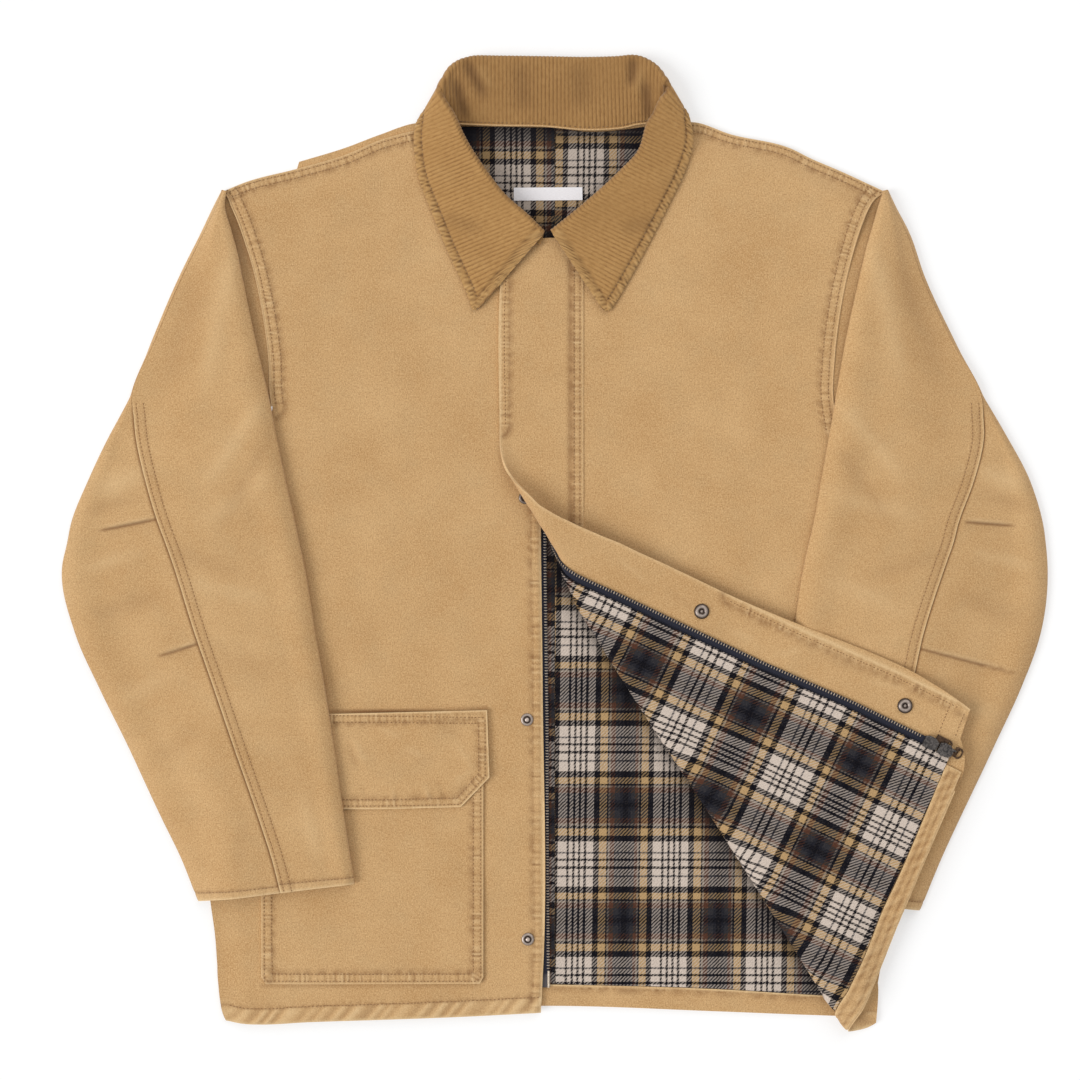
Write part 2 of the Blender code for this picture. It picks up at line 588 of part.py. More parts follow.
STUD_PROFILE = ((0, 0.3), (STUD_RADIUS, 0.3), (STUD_RADIUS, 1.1), (4.0, 1.5), (2.1, 1.7),
                (1.7, 2.2), (0, 2.4))
SOCKET_PROFILE = ((0, 0.3), (SOCKET_RADIUS, 0.3), (SOCKET_RADIUS, 1.4), (5.1, 2.1), (3.4, 2.2),
                  (2.4, 1.5), (0, 1.5))
SLIDER_SHAPE = ((-3.0, -6.4), (3.0, -6.4), (5.4, -2.0), (5.7, 2.6), (4.0, 6.2), (-4.0, 6.2),
                (-5.7, 2.6), (-5.4, -2.0))
# the pull tabs, measured from the middle of the bar they turn on
PULL_PLATE = ((-3.4, 0.45), (3.4, 0.45), (4.6, -0.8), (4.9, -4.4), (4.0, -6.2), (2.4, -7.0),
              (-2.4, -7.0), (-4.0, -6.2), (-4.9, -4.4), (-4.6, -0.8))
LONG_PLATE = ((-4.9, 8.0), (4.9, 8.0)) + PULL_PLATE[3:9]
PULL_EYE = ((-1.1, -0.45), (1.1, -0.45), (1.1, -2.2), (-1.1, -2.2))
PULL_RING = ((-3.0, -3.0), (3.0, -3.0), (3.4, -4.3), (2.6, -5.4), (1.4, -5.9), (-1.4, -5.9),
             (-2.6, -5.4), (-3.4, -4.3))
PULL_WALL = 1.2
PULL_LIFT = 1.2                         # height of the bar's middle above the placket
HINGE_PLACE = (-2.8, -8.0)              # the lower pull's bar, from the slider's middle
HINGE_TURN = math.radians(8.0)          # how far its ring swings back across the slider's end
HOOK = ((2.8, 2.6), (2.8, 2.1), (-0.9, 2.1), (-0.9, 0.8), (-1.4, 0.8), (-1.4, 2.6))
HOOK_WIDTH = 1.4
UPPER_PULL = (-8.6, -383.5)             # the same middle on the upper pull, flat

clear_scene()
GROUP = bpy.data.collections.new(NAME)
bpy.context.scene.collection.children.link(GROUP)
CUTTERS = bpy.data.collections.new("joined shapes")
bpy.context.scene.collection.children.link(CUTTERS)


def build_body():
    wide = straight_grid(74, 74, 3, 5)
    fine = straight_grid(46, 52, 7, 11)
    right_edges = edge_cuts((-288, -200), (1, 0)) + edge_cuts((-200, 322), (0.307, -0.952))
    sheet("back", BACK, wide, on_table, 0.0, BACK_TOP, TAN)
    sheet("back_lining_right", LINING_RIGHT, wide, on_table, LINING_LOW, LINING_TOP, PLAID)
    sheet("back_lining_left", LINING_LEFT, wide, on_table, LINING_LOW, LINING_TOP, PLAID)
    sheet("back_hem_facing", BACK_HEM, wide, on_table, LINING_LOW, LINING_TOP - 0.1, TAN)
    sheet("neck_label", LABEL, (), on_table, LINING_TOP + SEAM, LINING_TOP + 0.9, WHITE)
    sheet("front_right", FRONT_RIGHT, fine + right_edges, on_right, -FRONT_THICK, 0.0, TAN)
    sheet("zip_tape_right", TAPE_RIGHT, straight_grid(900, 52, 0, 11), on_table, 3.5, 4.4, NAVY)
    sheet("pocket_right", POCKET, fine, on_right, 0.4, 1.8, TAN)
    sheet("pocket_flap_right", FLAP, fine, on_right, 2.2, 3.7, TAN)


def build_left_front():
    grid = fold_grid(58.0)
    left_edges = edge_cuts((282, -200), (-1, 0)) + edge_cuts((191, 326), (-0.304, -0.953))
    sheet("front_left", FRONT_LEFT, grid + left_edges, on_left, -CANVAS, 0.0, TAN)
    sheet("front_left_lining", LEFT_LINING, grid, on_left, -3.3, -1.8, PLAID)
    sheet("front_left_hem_facing", LEFT_HEM, grid, on_left, -3.2, -1.8, TAN)
    sheet("placket", PLACKET, grid, on_left, -CANVAS, 0.7, TAN)
    sheet("zip_tape_left", TAPE_LEFT, grid, on_left, -2.8, -1.8, NAVY)


def build_sleeves():
    for word, side, table in (("right", -1, RIGHT_SLEEVE), ("left", 1, LEFT_SLEEVE)):
        outer, inner = sleeve_rows(side, table)
        loft("sleeve_" + word + "_under", outer, SLEEVE_WALL, TAN)
        loft("sleeve_" + word + "_top", inner, SLEEVE_WALL, TAN)


def build_snaps():
    for number, (x, y) in enumerate(STUDS, 1):
        turned("snap_stud_%d" % number, frame_at(on_right, x, y, 0.0), STUD_PROFILE, 14, METAL)
    for number, (x, y) in enumerate(SOCKETS, 1):
        frame = turned_over(frame_at(on_left, x, y, -CANVAS))
        turned("snap_socket_%d" % number, frame, SOCKET_PROFILE, 14, METAL)


def turned_over(frame):
    centre, across, along, normal = frame
    return centre, across, along, -normal


def swung(frame, x, y, height, angle):
    """A frame moved to a place in another one and swung about its outward direction."""
    centre, across, along, normal = frame
    middle = centre + across * x + along * y + normal * height
    return (middle, across * math.cos(angle) + along * math.sin(angle),
            along * math.cos(angle) - across * math.sin(angle), normal)


def build_zip():
    frames = {}
    for word, y in zip(("upper", "lower"), SLIDERS):
        frames[word] = turned_over(frame_at(on_left, SLIDER_X, y, -CANVAS))
        slider = extruded("zip_slider_" + word, frames[word], (SLIDER_SHAPE,), 2.3, 6.4)
    hinge = swung(frames["lower"], *HINGE_PLACE, PULL_LIFT, HINGE_TURN)
    centre, across, along, normal = hinge
    side = (centre - normal * PULL_LIFT, along, normal, across)
    joined(slider, extruded("hook", side, (HOOK,), -HOOK_WIDTH / 2, HOOK_WIDTH / 2))
    tab = extruded("zip_pull_lower", hinge, (PULL_PLATE, PULL_EYE, PULL_RING), -PULL_WALL / 2,
                   PULL_WALL / 2)
    tab.location = (centre + MIDDLE) * MM
    tab.data.transform(Matrix.Translation(-tab.location))
    rest = swung(turned_over(frame_at(on_left, *UPPER_PULL, -CANVAS)), 0, 0, PULL_LIFT, 0)
    extruded("zip_pull_upper", rest, (LONG_PLATE, PULL_RING), -PULL_WALL / 2, PULL_WALL / 2)


build_body()
build_left_front()
build_sleeves()
loft("collar", collar_rows(), COLLAR_WALL, CORD)
build_snaps()
build_zip()
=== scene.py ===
"""Barn jacket laid flat, front up: the looks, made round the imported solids.

Lengths are millimetres in the jacket's own flat layout until a mesh is made.  X runs to the
wearer's left, Y to the collar and Z up off the floor.  Cloth pieces are thin closed shells:
their outer faces carry seams, puckers and creases, and their flat places are kept as the
UV map "pattern", in metres, which the weaves are laid out by.
"""
import math

import bmesh
import bpy
import numpy as np
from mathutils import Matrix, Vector
from mathutils.bvhtree import BVHTree
from mathutils.geometry import delaunay_2d_cdt


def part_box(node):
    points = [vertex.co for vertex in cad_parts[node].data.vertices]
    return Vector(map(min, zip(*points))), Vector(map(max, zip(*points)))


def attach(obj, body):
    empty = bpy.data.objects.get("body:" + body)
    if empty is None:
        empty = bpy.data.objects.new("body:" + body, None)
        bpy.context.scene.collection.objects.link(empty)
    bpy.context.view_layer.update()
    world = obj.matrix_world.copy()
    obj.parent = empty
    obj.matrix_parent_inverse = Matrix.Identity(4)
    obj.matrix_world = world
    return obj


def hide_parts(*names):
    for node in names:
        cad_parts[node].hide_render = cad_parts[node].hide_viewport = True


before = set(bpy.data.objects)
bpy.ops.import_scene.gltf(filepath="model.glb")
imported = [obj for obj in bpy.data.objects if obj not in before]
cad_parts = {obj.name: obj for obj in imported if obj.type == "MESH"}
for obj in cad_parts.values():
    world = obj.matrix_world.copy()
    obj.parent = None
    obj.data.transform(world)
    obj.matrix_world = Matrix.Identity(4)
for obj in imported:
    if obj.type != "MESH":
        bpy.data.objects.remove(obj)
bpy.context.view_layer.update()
MM = 0.001
TAPE_MIDDLE = -70.5                      # flat Y of the middle of the right zip tape
SHIFT_Y = sum(corner.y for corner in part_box("zip_tape_right")) / 2 / MM - TAPE_MIDDLE

# ------------------------------------------------------------------ heights, as in the solids
CANVAS = 1.3
BACK_TOP = 1.4
LINING_LOW, LINING_TOP = 1.7, 3.2
FRONT_THICK = 2.2
FRONT_TOP = 7.2
FRONT_DROP = 3.3
DROP_WIDTH = 26.0
HEM_DROP = 0.4
LEFT_TOP = 9.2
SLEEVE_WALL = 1.2
COLLAR_WALL = 2.2
# lower and upper face of what lies on a cloth, off the floor or off that cloth's face
TAPE_FACES, LABEL_FACES = (3.5, 4.4), (3.5, 4.1)
POCKET_FACES, FLAP_FACES, PLACKET_FACES = (0.4, 1.8), (2.2, 3.7), (-1.3, 0.7)
LEFT_LINING_FACES, LEFT_HEM_FACES, LEFT_TAPE_FACES = (-3.3, -1.8), (-3.2, -1.8), (-2.8, -1.8)

FOLD_POINT = (54.0, -108.0)
FOLD_ALONG = (0.53, -0.848)
FOLD_OUT = (-0.848, -0.53)
# distance along the fold, cloth length in the bend, height of the turned cloth
FOLD_BEND = np.array(((-190, 50, 24.0), (-120, 46, 21.5), (-40, 28, 17.5), (120, 26, 17.0),
                      (230, 28, 18.2), (300, 30, 17.6), (350, 40, 15.0)))

# ------------------------------------------------------------------ outlines (x, y)
BACK = ((-280, 296), (-267, 304), (-221, 314.6), (-218.5, 323), (-179, 335), (-150, 346),
        (-116.5, 356.4), (-100, 356.6), (-84, 356.4), (-50, 356.4), (-13, 356.4), (28, 355),
        (60, 355.6), (80, 356.4), (100, 356.4), (114.6, 355.6), (151, 345), (204, 332),
        (242, 314.6), (280, 296.5), (267, 286.5), (257, 254), (246, 210), (236.5, 157.5),
        (236, 119), (243, 95), (253, 72), (263, 46), (270, 24), (275, 12), (282, -2), (284, -51),
        (282, -200),
        (279, -360), (275, -384), (273, -409), (251, -407), (210, -405.5), (134, -402.5),
        (-12, -398), (-150, -405), (-279, -406), (-285, -391), (-289, -337), (-295, -289),
        (-295, -51), (-290, -2), (-280, 12), (-276, 24), (-264, 46), (-254, 72), (-246, 95),
        (-241, 114), (-242, 152), (-246, 195.5), (-255, 242), (-270, 277.5))
LINING_RIGHT = ((-0.2, 351.9), (-13, 352), (-50, 352.6), (-81, 353), (-80, 322), (-100, 312),
                (-150, 308), (-214, 286), (-244, 262), (-234, 195), (-229, 150), (-228, 112),
                (-240, 72), (-254, 30), (-266, -10), (-268, -289), (-262, -374), (-150, -378),
                (-0.2, -378.8))
LINING_LEFT = ((0.2, 351.8), (0.2, -378.9), (133.5, -382.6), (233, -388.4), (252, -389),
               (256, -360), (258, -200), (258, -10), (246, 30), (234, 72), (223, 112), (223, 157),
               (233, 210), (240, 254), (214, 288), (150, 308), (100, 314), (79, 322),
               (79.5, 353.2), (60, 350.4), (28, 348.4))
BACK_HEM = ((-256, -375), (-150, -378.6), (-7, -379.4), (133.5, -383.2), (233, -389),
            (252, -389.8), (252, -406.6), (210, -405), (134, -402), (-12, -397.6), (-150, -403),
            (-256, -404))
FRONT_RIGHT = ((-12, 252), (-12, 12), (-10.5, -127), (-9.6, -355), (-12, -403), (-80, -406.5),
               (-150, -409), (-210, -411), (-254, -413), (-268, -412.4), (-281, -410),
               (-284, -402), (-286, -391), (-288, -364), (-290, -337), (-294, -308),
               (-296, -289), (-296, -51),
               (-284, -12), (-276, 5), (-270, 25), (-262, 48), (-252, 72), (-244, 95),
               (-240.6, 114), (-242, 124), (-242.7, 151), (-245, 173.6), (-248, 192.7),
               (-251.6, 211.8), (-257.6, 236.8), (-262.9, 253.5), (-270.1, 273.8),
               (-275.4, 285.7), (-278.3, 292.3), (-282.8, 297.4), (-267, 304.2), (-218.3, 317.2),
               (-179, 328.5), (-148, 341.5), (-120.5, 349), (-100, 352), (-95, 343), (-84, 316),
               (-60, 286), (-34, 264))
FRONT_LEFT = ((23.4, 256.6), (58, 278), (84, 313), (96, 341), (101, 354.8), (114.6, 356.6),
              (151, 346), (204, 333), (215.6, 327), (242, 315.6), (281, 297.5), (272, 291),
              (265.8, 281.5), (260.3, 268.3), (254, 248.7), (247.3, 222.7), (241, 189),
              (237.2, 156.3), (236, 119.5), (240, 95), (248, 72),
              (256, 48), (263, 25), (267, 5), (274, -12), (285, -51), (283, -200), (280, -360),
              (275.6, -369), (276, -384), (275, -402), (274, -412), (269.5, -415), (258, -417.5),
              (243, -420), (225, -421.5), (190, -420), (140, -416), (80, -412.5), (23.4, -409.8))
LEFT_LINING = ((6.3, 238), (23, 240), (60, 256), (84, 286), (112, 308), (150, 302), (204, 284),
               (222, 262), (222, 210), (212, 157), (210, 112), (222, 40), (242, -20), (250, -51),
               (250, -200), (244, -290), (230, -340), (227, -380), (234, -401.8), (216, -402.0),
               (180, -401.1), (141, -398.0), (114, -397.6), (6.3, -392.2))
LEFT_HEM = ((6.3, -393), (114, -398.5), (141, -398.9), (180, -402), (216, -402.9), (246, -402.5),
            (246, -418), (225, -420), (190, -418.5), (140, -414.6), (80, -411.2), (6.3, -407.4))
PLACKET = ((-44, 250.5), (-47, 212), (-47, 80), (-46.6, -160), (-46, -384), (-44.6, -391),
           (-18.7, -394.4), (-8, -403.5), (4, -408.6), (24.2, -409.6), (24.2, 256.2),
           (3, 257.2), (-7, 257))
TAPE_LEFT = ((-7.6, 244), (-7.6, -367.6), (6, -367.6), (6, 244))
TAPE_RIGHT = ((-24, 238), (-24, -381.6), (-4.9, -381.6), (-5.3, -275), (-5.6, -155), (-7.4, -20),
              (-7.4, 238))
# the right teeth's middle line, (Y, X), which leans with the front's edge
TEETH_RIGHT = np.array(((-381.0, -5.4), (-360, -5.6), (-275, -6.5), (-155, -6.8), (-40, -8.2),
                        (13, -8.7)))
LABEL = ((-35.1, 289.5), (23.5, 290), (23.4, 301), (-35.1, 300.6))
POCKET = ((-250, -158), (-61, -158), (-61, -372), (-64, -377.6), (-155, -378), (-246, -378),
          (-250, -372))
FLAP = ((-254, -149.4), (-156, -147.1), (-57.8, -144.8), (-55.8, -202), (-80, -227),
        (-155, -228.8), (-230, -228), (-254, -203))

# ------------------------------------------------------------------ sleeves
# outer edge (x, y), inner edge (x, y) and elbow seam as distance from the middle; height of the
# upper cloth at the inner edge; height of the cloth turned under; where that turned cloth ends
RIGHT_SLEEVE = (
    (283.8, 298.4, 280.4, 297.4, 282.8, 8.4, 5.8, 279.4),
    (290.5, 285, 281.6, 285, 287.5, 9.8, 6.9, 275.8),
    (301, 263, 276, 263, 298, 12.0, 8.4, 264.4),
    (320, 225, 267, 225, 317, 13.8, 9.6, 252.0),
    (343, 172, 255.5, 172, 340, 14.4, 9.8, 244.2),
    (363.5, 119.5, 243.5, 119.5, 360.5, 15.0, 10.0, 241.1),
    (371, 105, 240.5, 105, 359, 15.3, 10.3, 252),
    (379, 90, 237.5, 90, 357.5, 15.5, 10.6, 264),
    (397, 52, 229.5, 52, 349, 15.8, 10.8, 289),
    (412.5, 14, 221, 14, 337.5, 15.9, 10.9, 281),
    (416, -3, 217.5, -3, 331, 16.0, 11.0, 277),
    (420, -21, 213.5, -21, 324.5, 16.2, 11.2, 273),
    (409, -79, 203.8, -79, 306, 17.0, 12.0, 264),
    (388, -127, 195.5, -127, 289, 18.6, 13.6, 256),
    (363.5, -176, 187.5, -177, 272, 19.0, 14.0, 248),
    (334, -240, 178.5, -240, 250, 18.8, 13.9, 239),
    (318, -273, 174, -270, 240, 18.0, 13.1, 234),
    (304, -308, 170.5, -292, 233, 16.6, 11.9, 231))
LEFT_SLEEVE = (
    (283.8, 298.6, 280.2, 297.6, 282.8, 8.6, 5.9, 278.8),
    (289.5, 286, 276.4, 286, 286.5, 10.2, 7.0, 262.0),
    (301.5, 263, 269.8, 263, 298.5, 13.2, 9.4, 256.0),
    (315, 225, 259.8, 225, 312, 15.8, 12.0, 247.0),
    (340, 172, 247.8, 172, 337, 16.4, 12.1, 238.5),
    (367, 119.5, 238.8, 119.5, 364, 16.6, 12.1, 234.5),
    (375.5, 105, 236.4, 105, 365, 16.6, 12.1, 250),
    (384, 90, 233.6, 90, 365.5, 16.6, 12.0, 262),
    (404, 52, 226.6, 52, 357, 16.5, 11.8, 287),
    (416, 14, 220, 14, 343, 16.4, 11.7, 278),
    (418.5, -3, 216, -3, 338.5, 16.4, 11.5, 268),
    (420, -21, 212, -21, 332, 16.5, 11.6, 266),
    (414, -79, 203, -79, 313, 16.5, 11.6, 258),
    (397, -127, 197, -127, 302, 16.5, 11.6, 250),
    (374, -176, 194, -177, 286, 16.4, 11.5, 243),
    (344, -240, 194, -240, 262, 16.2, 11.3, 236),
    (328, -275, 194, -273, 248, 16.0, 11.2, 233),
    (311, -316, 193, -298, 240, 15.6, 11.0, 230))
# how the inner edge lies at each station: folded back under itself along the armhole, that
# tuck running out, flat beside the body, then over the body
SLEEVE_STATES = ("tucked",) * 6 + ("opening", "turning", "flat", "flat") + ("over",) * 8
BODY_EDGE = {-1: 303.0, 1: 293.0}
CLIMB = 16.0
TUCK = 3.6
SLEEVE_REST = 0.7
SLEEVE_LOW = 5.8
ARMHOLE_UNDER = {-1: {105: 245.4, 90: 250.0, 52: 264.0, 14: 284.0},
                 1: {105: 241.6, 90: 247.0, 52: 263.0, 14: 279.0}}

# ------------------------------------------------------------------ collar
# neck seam, roll and leaf edge, each (x, y, z), from the right front's end to the left's
COLLAR = np.array((
    ((-12, 250.5, 12.6), (-9.4, 261.5, 15.6), (-69.5, 192, 9.3)),
    ((-34, 262.5, 11.6), (-24, 276, 17.2), (-76, 212, 9.2)),
    ((-52, 276, 10.6), (-45, 295, 17.6), (-92, 247, 9.2)),
    ((-72, 299, 10.0), (-66, 323, 17.8), (-105, 279, 9.2)),
    ((-86, 320, 9.4), (-78, 343, 17.8), (-116, 308, 9.0)),
    ((-93, 338, 8.6), (-86, 361, 17.2), (-120, 334, 8.8)),
    ((-95, 347, 7.2), (-98, 382, 14.8), (-119, 352, 8.8)),
    ((-92, 353.4, 5.6), (-93, 396, 12.4), (-113, 362, 5.6)),
    ((-84, 355.4, 4.8), (-86, 405, 10.2), (-98, 366, 2.4)),
    ((-72, 355, 4.4), (-72, 411, 9.0), (-76, 361, 1.4)),
    ((-46, 354.2, 4.2), (-46, 411.5, 8.0), (-46, 358.6, 1.3)),
    ((-10, 353.6, 4.2), (-10, 411, 7.8), (-10, 358.2, 1.3)),
    ((25, 350.6, 4.2), (24, 410.5, 7.8), (25, 358, 1.3)),
    ((54, 351.8, 4.2), (52, 411, 8.0), (53, 358.4, 1.3)),
    ((70, 355, 4.4), (69, 412, 9.0), (73, 361, 1.4)),
    ((82, 356, 4.8), (84, 405, 10.2), (97, 366, 2.4)),
    ((91, 354, 5.8), (92, 395, 12.6), (112, 363, 5.8)),
    ((95, 348, 7.8), (95, 384, 15.4), (116, 353, 9.8)),
    ((94, 338, 10.2), (80, 357, 18.2), (117.5, 336, 11.2)),
    ((84, 316, 11.2), (72, 331, 19.0), (110, 312, 11.3)),
    ((66, 293, 11.8), (57, 314, 19.2), (98, 287, 11.3)),
    ((48, 275, 12.2), (40, 298, 19.0), (80, 252, 11.3)),
    ((26, 260, 12.8), (18, 279, 18.6), (59, 214, 11.4)),
    ((3, 250.5, 13.2), (-3.5, 262, 16.4), (44, 190.5, 11.6))), float)
ROLL_RADIUS = 2.5
# a wale's place along the leaf edge and along the roll, counted in the stations above
WALE_EDGE = (1.5, 2.0, 2.73, 3.8, 4.66, 5.7, 6.8, 7.35, 8, 9, 10, 11, 12, 13, 14, 15, 15.65,
             16.3, 17.85, 19.0, 19.8, 20.42, 21.08, 21.66)
WALE_PITCH = 3.3


# ------------------------------------------------------------------ numbers
def smooth(low, high, value):
    """0 below low, 1 above high, eased between."""
    t = np.clip((value - low) / (high - low), 0.0, 1.0)
    return t * t * (3.0 - 2.0 * t)


def mix(a, b, t):
    """The value a share t of the way from a to b."""
    return a + (b - a) * t


def unit(vectors):
    return vectors / (np.linalg.norm(vectors, axis=-1, keepdims=True) + 1e-12)


def runs_along(points):
    """How far along a line of points each one lies."""
    steps = np.linalg.norm(np.diff(points, axis=0), axis=1)
    return np.concatenate([[0.0], np.cumsum(steps)])


def hump(value, middle, width):
    """1 at the middle, fading over the width on both sides."""
    return np.exp(-((value - middle) / width) ** 2)


def waver(place, pitch, seed):
    """Uneven waves from -1 to 1, about a pitch apart."""
    turn = 2.0 * math.pi * place / pitch
    drift = 1.2 * np.sin(turn / 3.7 + seed) + 0.8 * np.sin(turn / 2.3 + 2.1 * seed)
    strength = 0.72 + 0.28 * np.sin(turn / 5.3 + 3.3 * seed)
    return np.cos(turn + drift + seed) * strength


def measure(x, y, line):
    """Distance to an open line, how far along it, and the side (1 on its left)."""
    best = np.full(np.shape(x), 1e9)
    arc, side = np.zeros_like(best), np.zeros_like(best)
    start = 0.0
    for (ax, ay), (bx, by) in zip(line, line[1:]):
        dx, dy = bx - ax, by - ay
        length = math.hypot(dx, dy)
        t = np.clip(((x - ax) * dx + (y - ay) * dy) / length ** 2, 0.0, 1.0)
        ex, ey = x - ax - t * dx, y - ay - t * dy
        far = np.hypot(ex, ey)
        near = far < best
        best = np.where(near, far, best)
        arc = np.where(near, start + t * length, arc)
        side = np.where(near, np.sign(dx * ey - dy * ex), side)
        start += length
    return best, arc, side


def tangents(points, knots, closed, sharp):
    """Directions of travel at each point: one where it bends gently, two at a corner."""
    chords = np.diff(points, axis=0) / np.diff(knots)[:, None]
    before = np.vstack([chords[-1:] if closed else chords[:1], chords])
    after = np.vstack([chords, chords[:1] if closed else chords[-1:]])
    spans = np.diff(knots)
    gap_in = np.concatenate([spans[-1:] if closed else spans[:1], spans])[:, None]
    gap_out = np.concatenate([spans, spans[:1] if closed else spans[-1:]])[:, None]
    blend = (before * gap_out + after * gap_in) / (gap_in + gap_out)
    corner = (unit(before) * unit(after)).sum(1) < math.cos(math.radians(sharp))
    corner = corner[:, None]
    return np.where(corner, before, blend), np.where(corner, after, blend)


def hermite(points, knots, places, closed=False, sharp=180.0):
    """A smooth curve through points at their knots, read at places."""
    come, leave = tangents(points, knots, closed, sharp)
    index = np.clip(np.searchsorted(knots, places, side="right") - 1, 0, len(knots) - 2)
    span = (knots[index + 1] - knots[index])[:, None]
    t = (places - knots[index])[:, None] / span
    a, b = points[index], points[index + 1]
    da, db = leave[index] * span, come[index + 1] * span
    return (a * (2 * t ** 3 - 3 * t ** 2 + 1) + da * (t ** 3 - 2 * t ** 2 + t)
            + b * (3 * t ** 2 - 2 * t ** 3) + db * (t ** 3 - t ** 2))


def line_through(points, step, closed=False, sharp=28.0):
    """A rounded line through points, a step apart, sharp where it turns a corner."""
    points = np.array(points, float)
    if closed:
        points = np.vstack([points, points[:1]])
    knots = runs_along(points)
    places = [np.linspace(a, b, max(2, int(round((b - a) / step)) + 1))[:-1]
              for a, b in zip(knots, knots[1:])]
    places = np.concatenate(places + ([] if closed else [knots[-1:]]))
    return hermite(points, knots, places, closed, sharp)


def ring(outline, step=3.0):
    """A rounded outline whose end is its start again."""
    line = line_through(outline, step, closed=True)
    return np.vstack([line, line[:1]])


def beside(line, distance):
    """A line moved to its left by a distance."""
    line = np.array(line, float)
    run = unit(np.gradient(line, axis=0))
    return line + np.stack([-run[:, 1], run[:, 0]], 1) * distance


def inside(x, y, outline):
    """Whether places lie in a closed outline."""
    hit = np.zeros(x.shape, bool)
    for (ax, ay), (bx, by) in zip(outline, np.roll(outline, -1, axis=0)):
        if ay != by:
            crosses = (ay > y) != (by > y)
            hit ^= crosses & (x < (bx - ax) * (y - ay) / (by - ay) + ax)
    return hit


# ------------------------------------------------------------------ the shapes cloth lies in
RIGHT_SIDE = ((-281, -410), (-288, -364), (-296, -289), (-296, -51), (-284, -12))
RIGHT_SHOULDER = ((-281, 297), (-267, 305), (-219, 316), (-179, 328.5), (-148, 341.5),
                  (-100, 352))
LEFT_SIDE = ((269, -415), (276, -384), (280, -360), (285, -51), (274, -12))
LEFT_SHOULDER = ((97, 354.6), (151, 346), (204, 333), (242, 315.6), (281, 297.5))
SLEEVE_SHORE = np.array(((192, -298), (193, -273), (194, -177), (203, -79), (217, 14), (226, 60)),
                        float)


PUFF_RISE = 1.3
PUFF_CREST, PUFF_WIDTH = 165.0, 236.0    # how far from the middle it crests, and its half wave
PUFF_MIDDLE, PUFF_LENGTH = -60.0, 420.0
HEM_BAND = (-410, -370)


def puff(x, y):
    """How far the fronts swell between the middle and the sides."""
    across = np.cos((np.abs(x) - PUFF_CREST) / PUFF_WIDTH * math.pi)
    along = 0.6 + 0.4 * np.cos((y - PUFF_MIDDLE) / PUFF_LENGTH * math.pi)
    return PUFF_RISE * np.maximum(0.0, across) * along


def side_drop(x, y, side, shoulder):
    """1 at a front's side and shoulder edges, where it drops to the back, 0 away from them."""
    near = np.minimum(measure(x, y, side)[0], measure(x, y, shoulder)[0])
    return 1.0 - smooth(0, DROP_WIDTH, near)


def right_height(x, y):
    drop = side_drop(x, y, RIGHT_SIDE, RIGHT_SHOULDER)
    hem = 1.0 - smooth(*HEM_BAND, y)
    return (FRONT_TOP + puff(x, y) * (1.0 - drop)
            - np.maximum(FRONT_DROP * drop, HEM_DROP * hem))


def left_flat_height(x, y):
    drop = side_drop(x, y, LEFT_SIDE, LEFT_SHOULDER)
    swell = np.where(x > 0, puff(x, y) * (1.0 - drop), 0.0)
    return LEFT_TOP + swell - (LEFT_TOP - LINING_LOW - CANVAS) * drop


def fold_place(x, y):
    """Distance past the fold line and distance along it."""
    dx, dy = x - FOLD_POINT[0], y - FOLD_POINT[1]
    return dx * FOLD_OUT[0] + dy * FOLD_OUT[1], dx * FOLD_ALONG[0] + dy * FOLD_ALONG[1]


def fold_point(out, along):
    return (FOLD_POINT[0] + out * FOLD_OUT[0] + along * FOLD_ALONG[0],
            FOLD_POINT[1] + out * FOLD_OUT[1] + along * FOLD_ALONG[1])


# how far the turned cloth is drawn back, and how much the bend is held in, along the fold
TURN_PULL = np.array(((-185, 0), (-156, 7.5), (-138, 9.6), (-120, 9.4), (-100, 8), (-90, 6.8),
                      (-74, 6.6), (-52, 5.6), (0, 5), (60, 4), (130, 0)))
BEND_HELD = np.array(((-185, 4), (-150, 9), (-130, 10), (-110, 9.6), (-98, 7.4), (-85, 4),
                      (-60, 0)))


LEFT_CUFF = (-296, -318)                 # its height up the jacket at the inner and outer edge
ON_SLEEVE = 18.7                         # height of the turned cloth where the sleeve carries it
OVERHANG = 6.0                           # how far it sinks past the body's side
LEAST_REACH = 4.0                        # how far out the tightest bend still goes


def turned_height(x, y, along):
    """Height of the turned-back cloth's outer face, which now looks down."""
    start = np.interp(along, FOLD_BEND[:, 0], FOLD_BEND[:, 2])
    inner = np.interp(y, SLEEVE_SHORE[:, 1], SLEEVE_SHORE[:, 0])
    cuff = mix(*LEFT_CUFF, smooth(170, 312, x))
    on_sleeve = smooth(-60, 30, np.minimum(x - inner, y - cuff))
    overhang = smooth(252, 290, x) * (1.0 - on_sleeve)
    return mix(start, ON_SLEEVE, on_sleeve) - OVERHANG * overhang


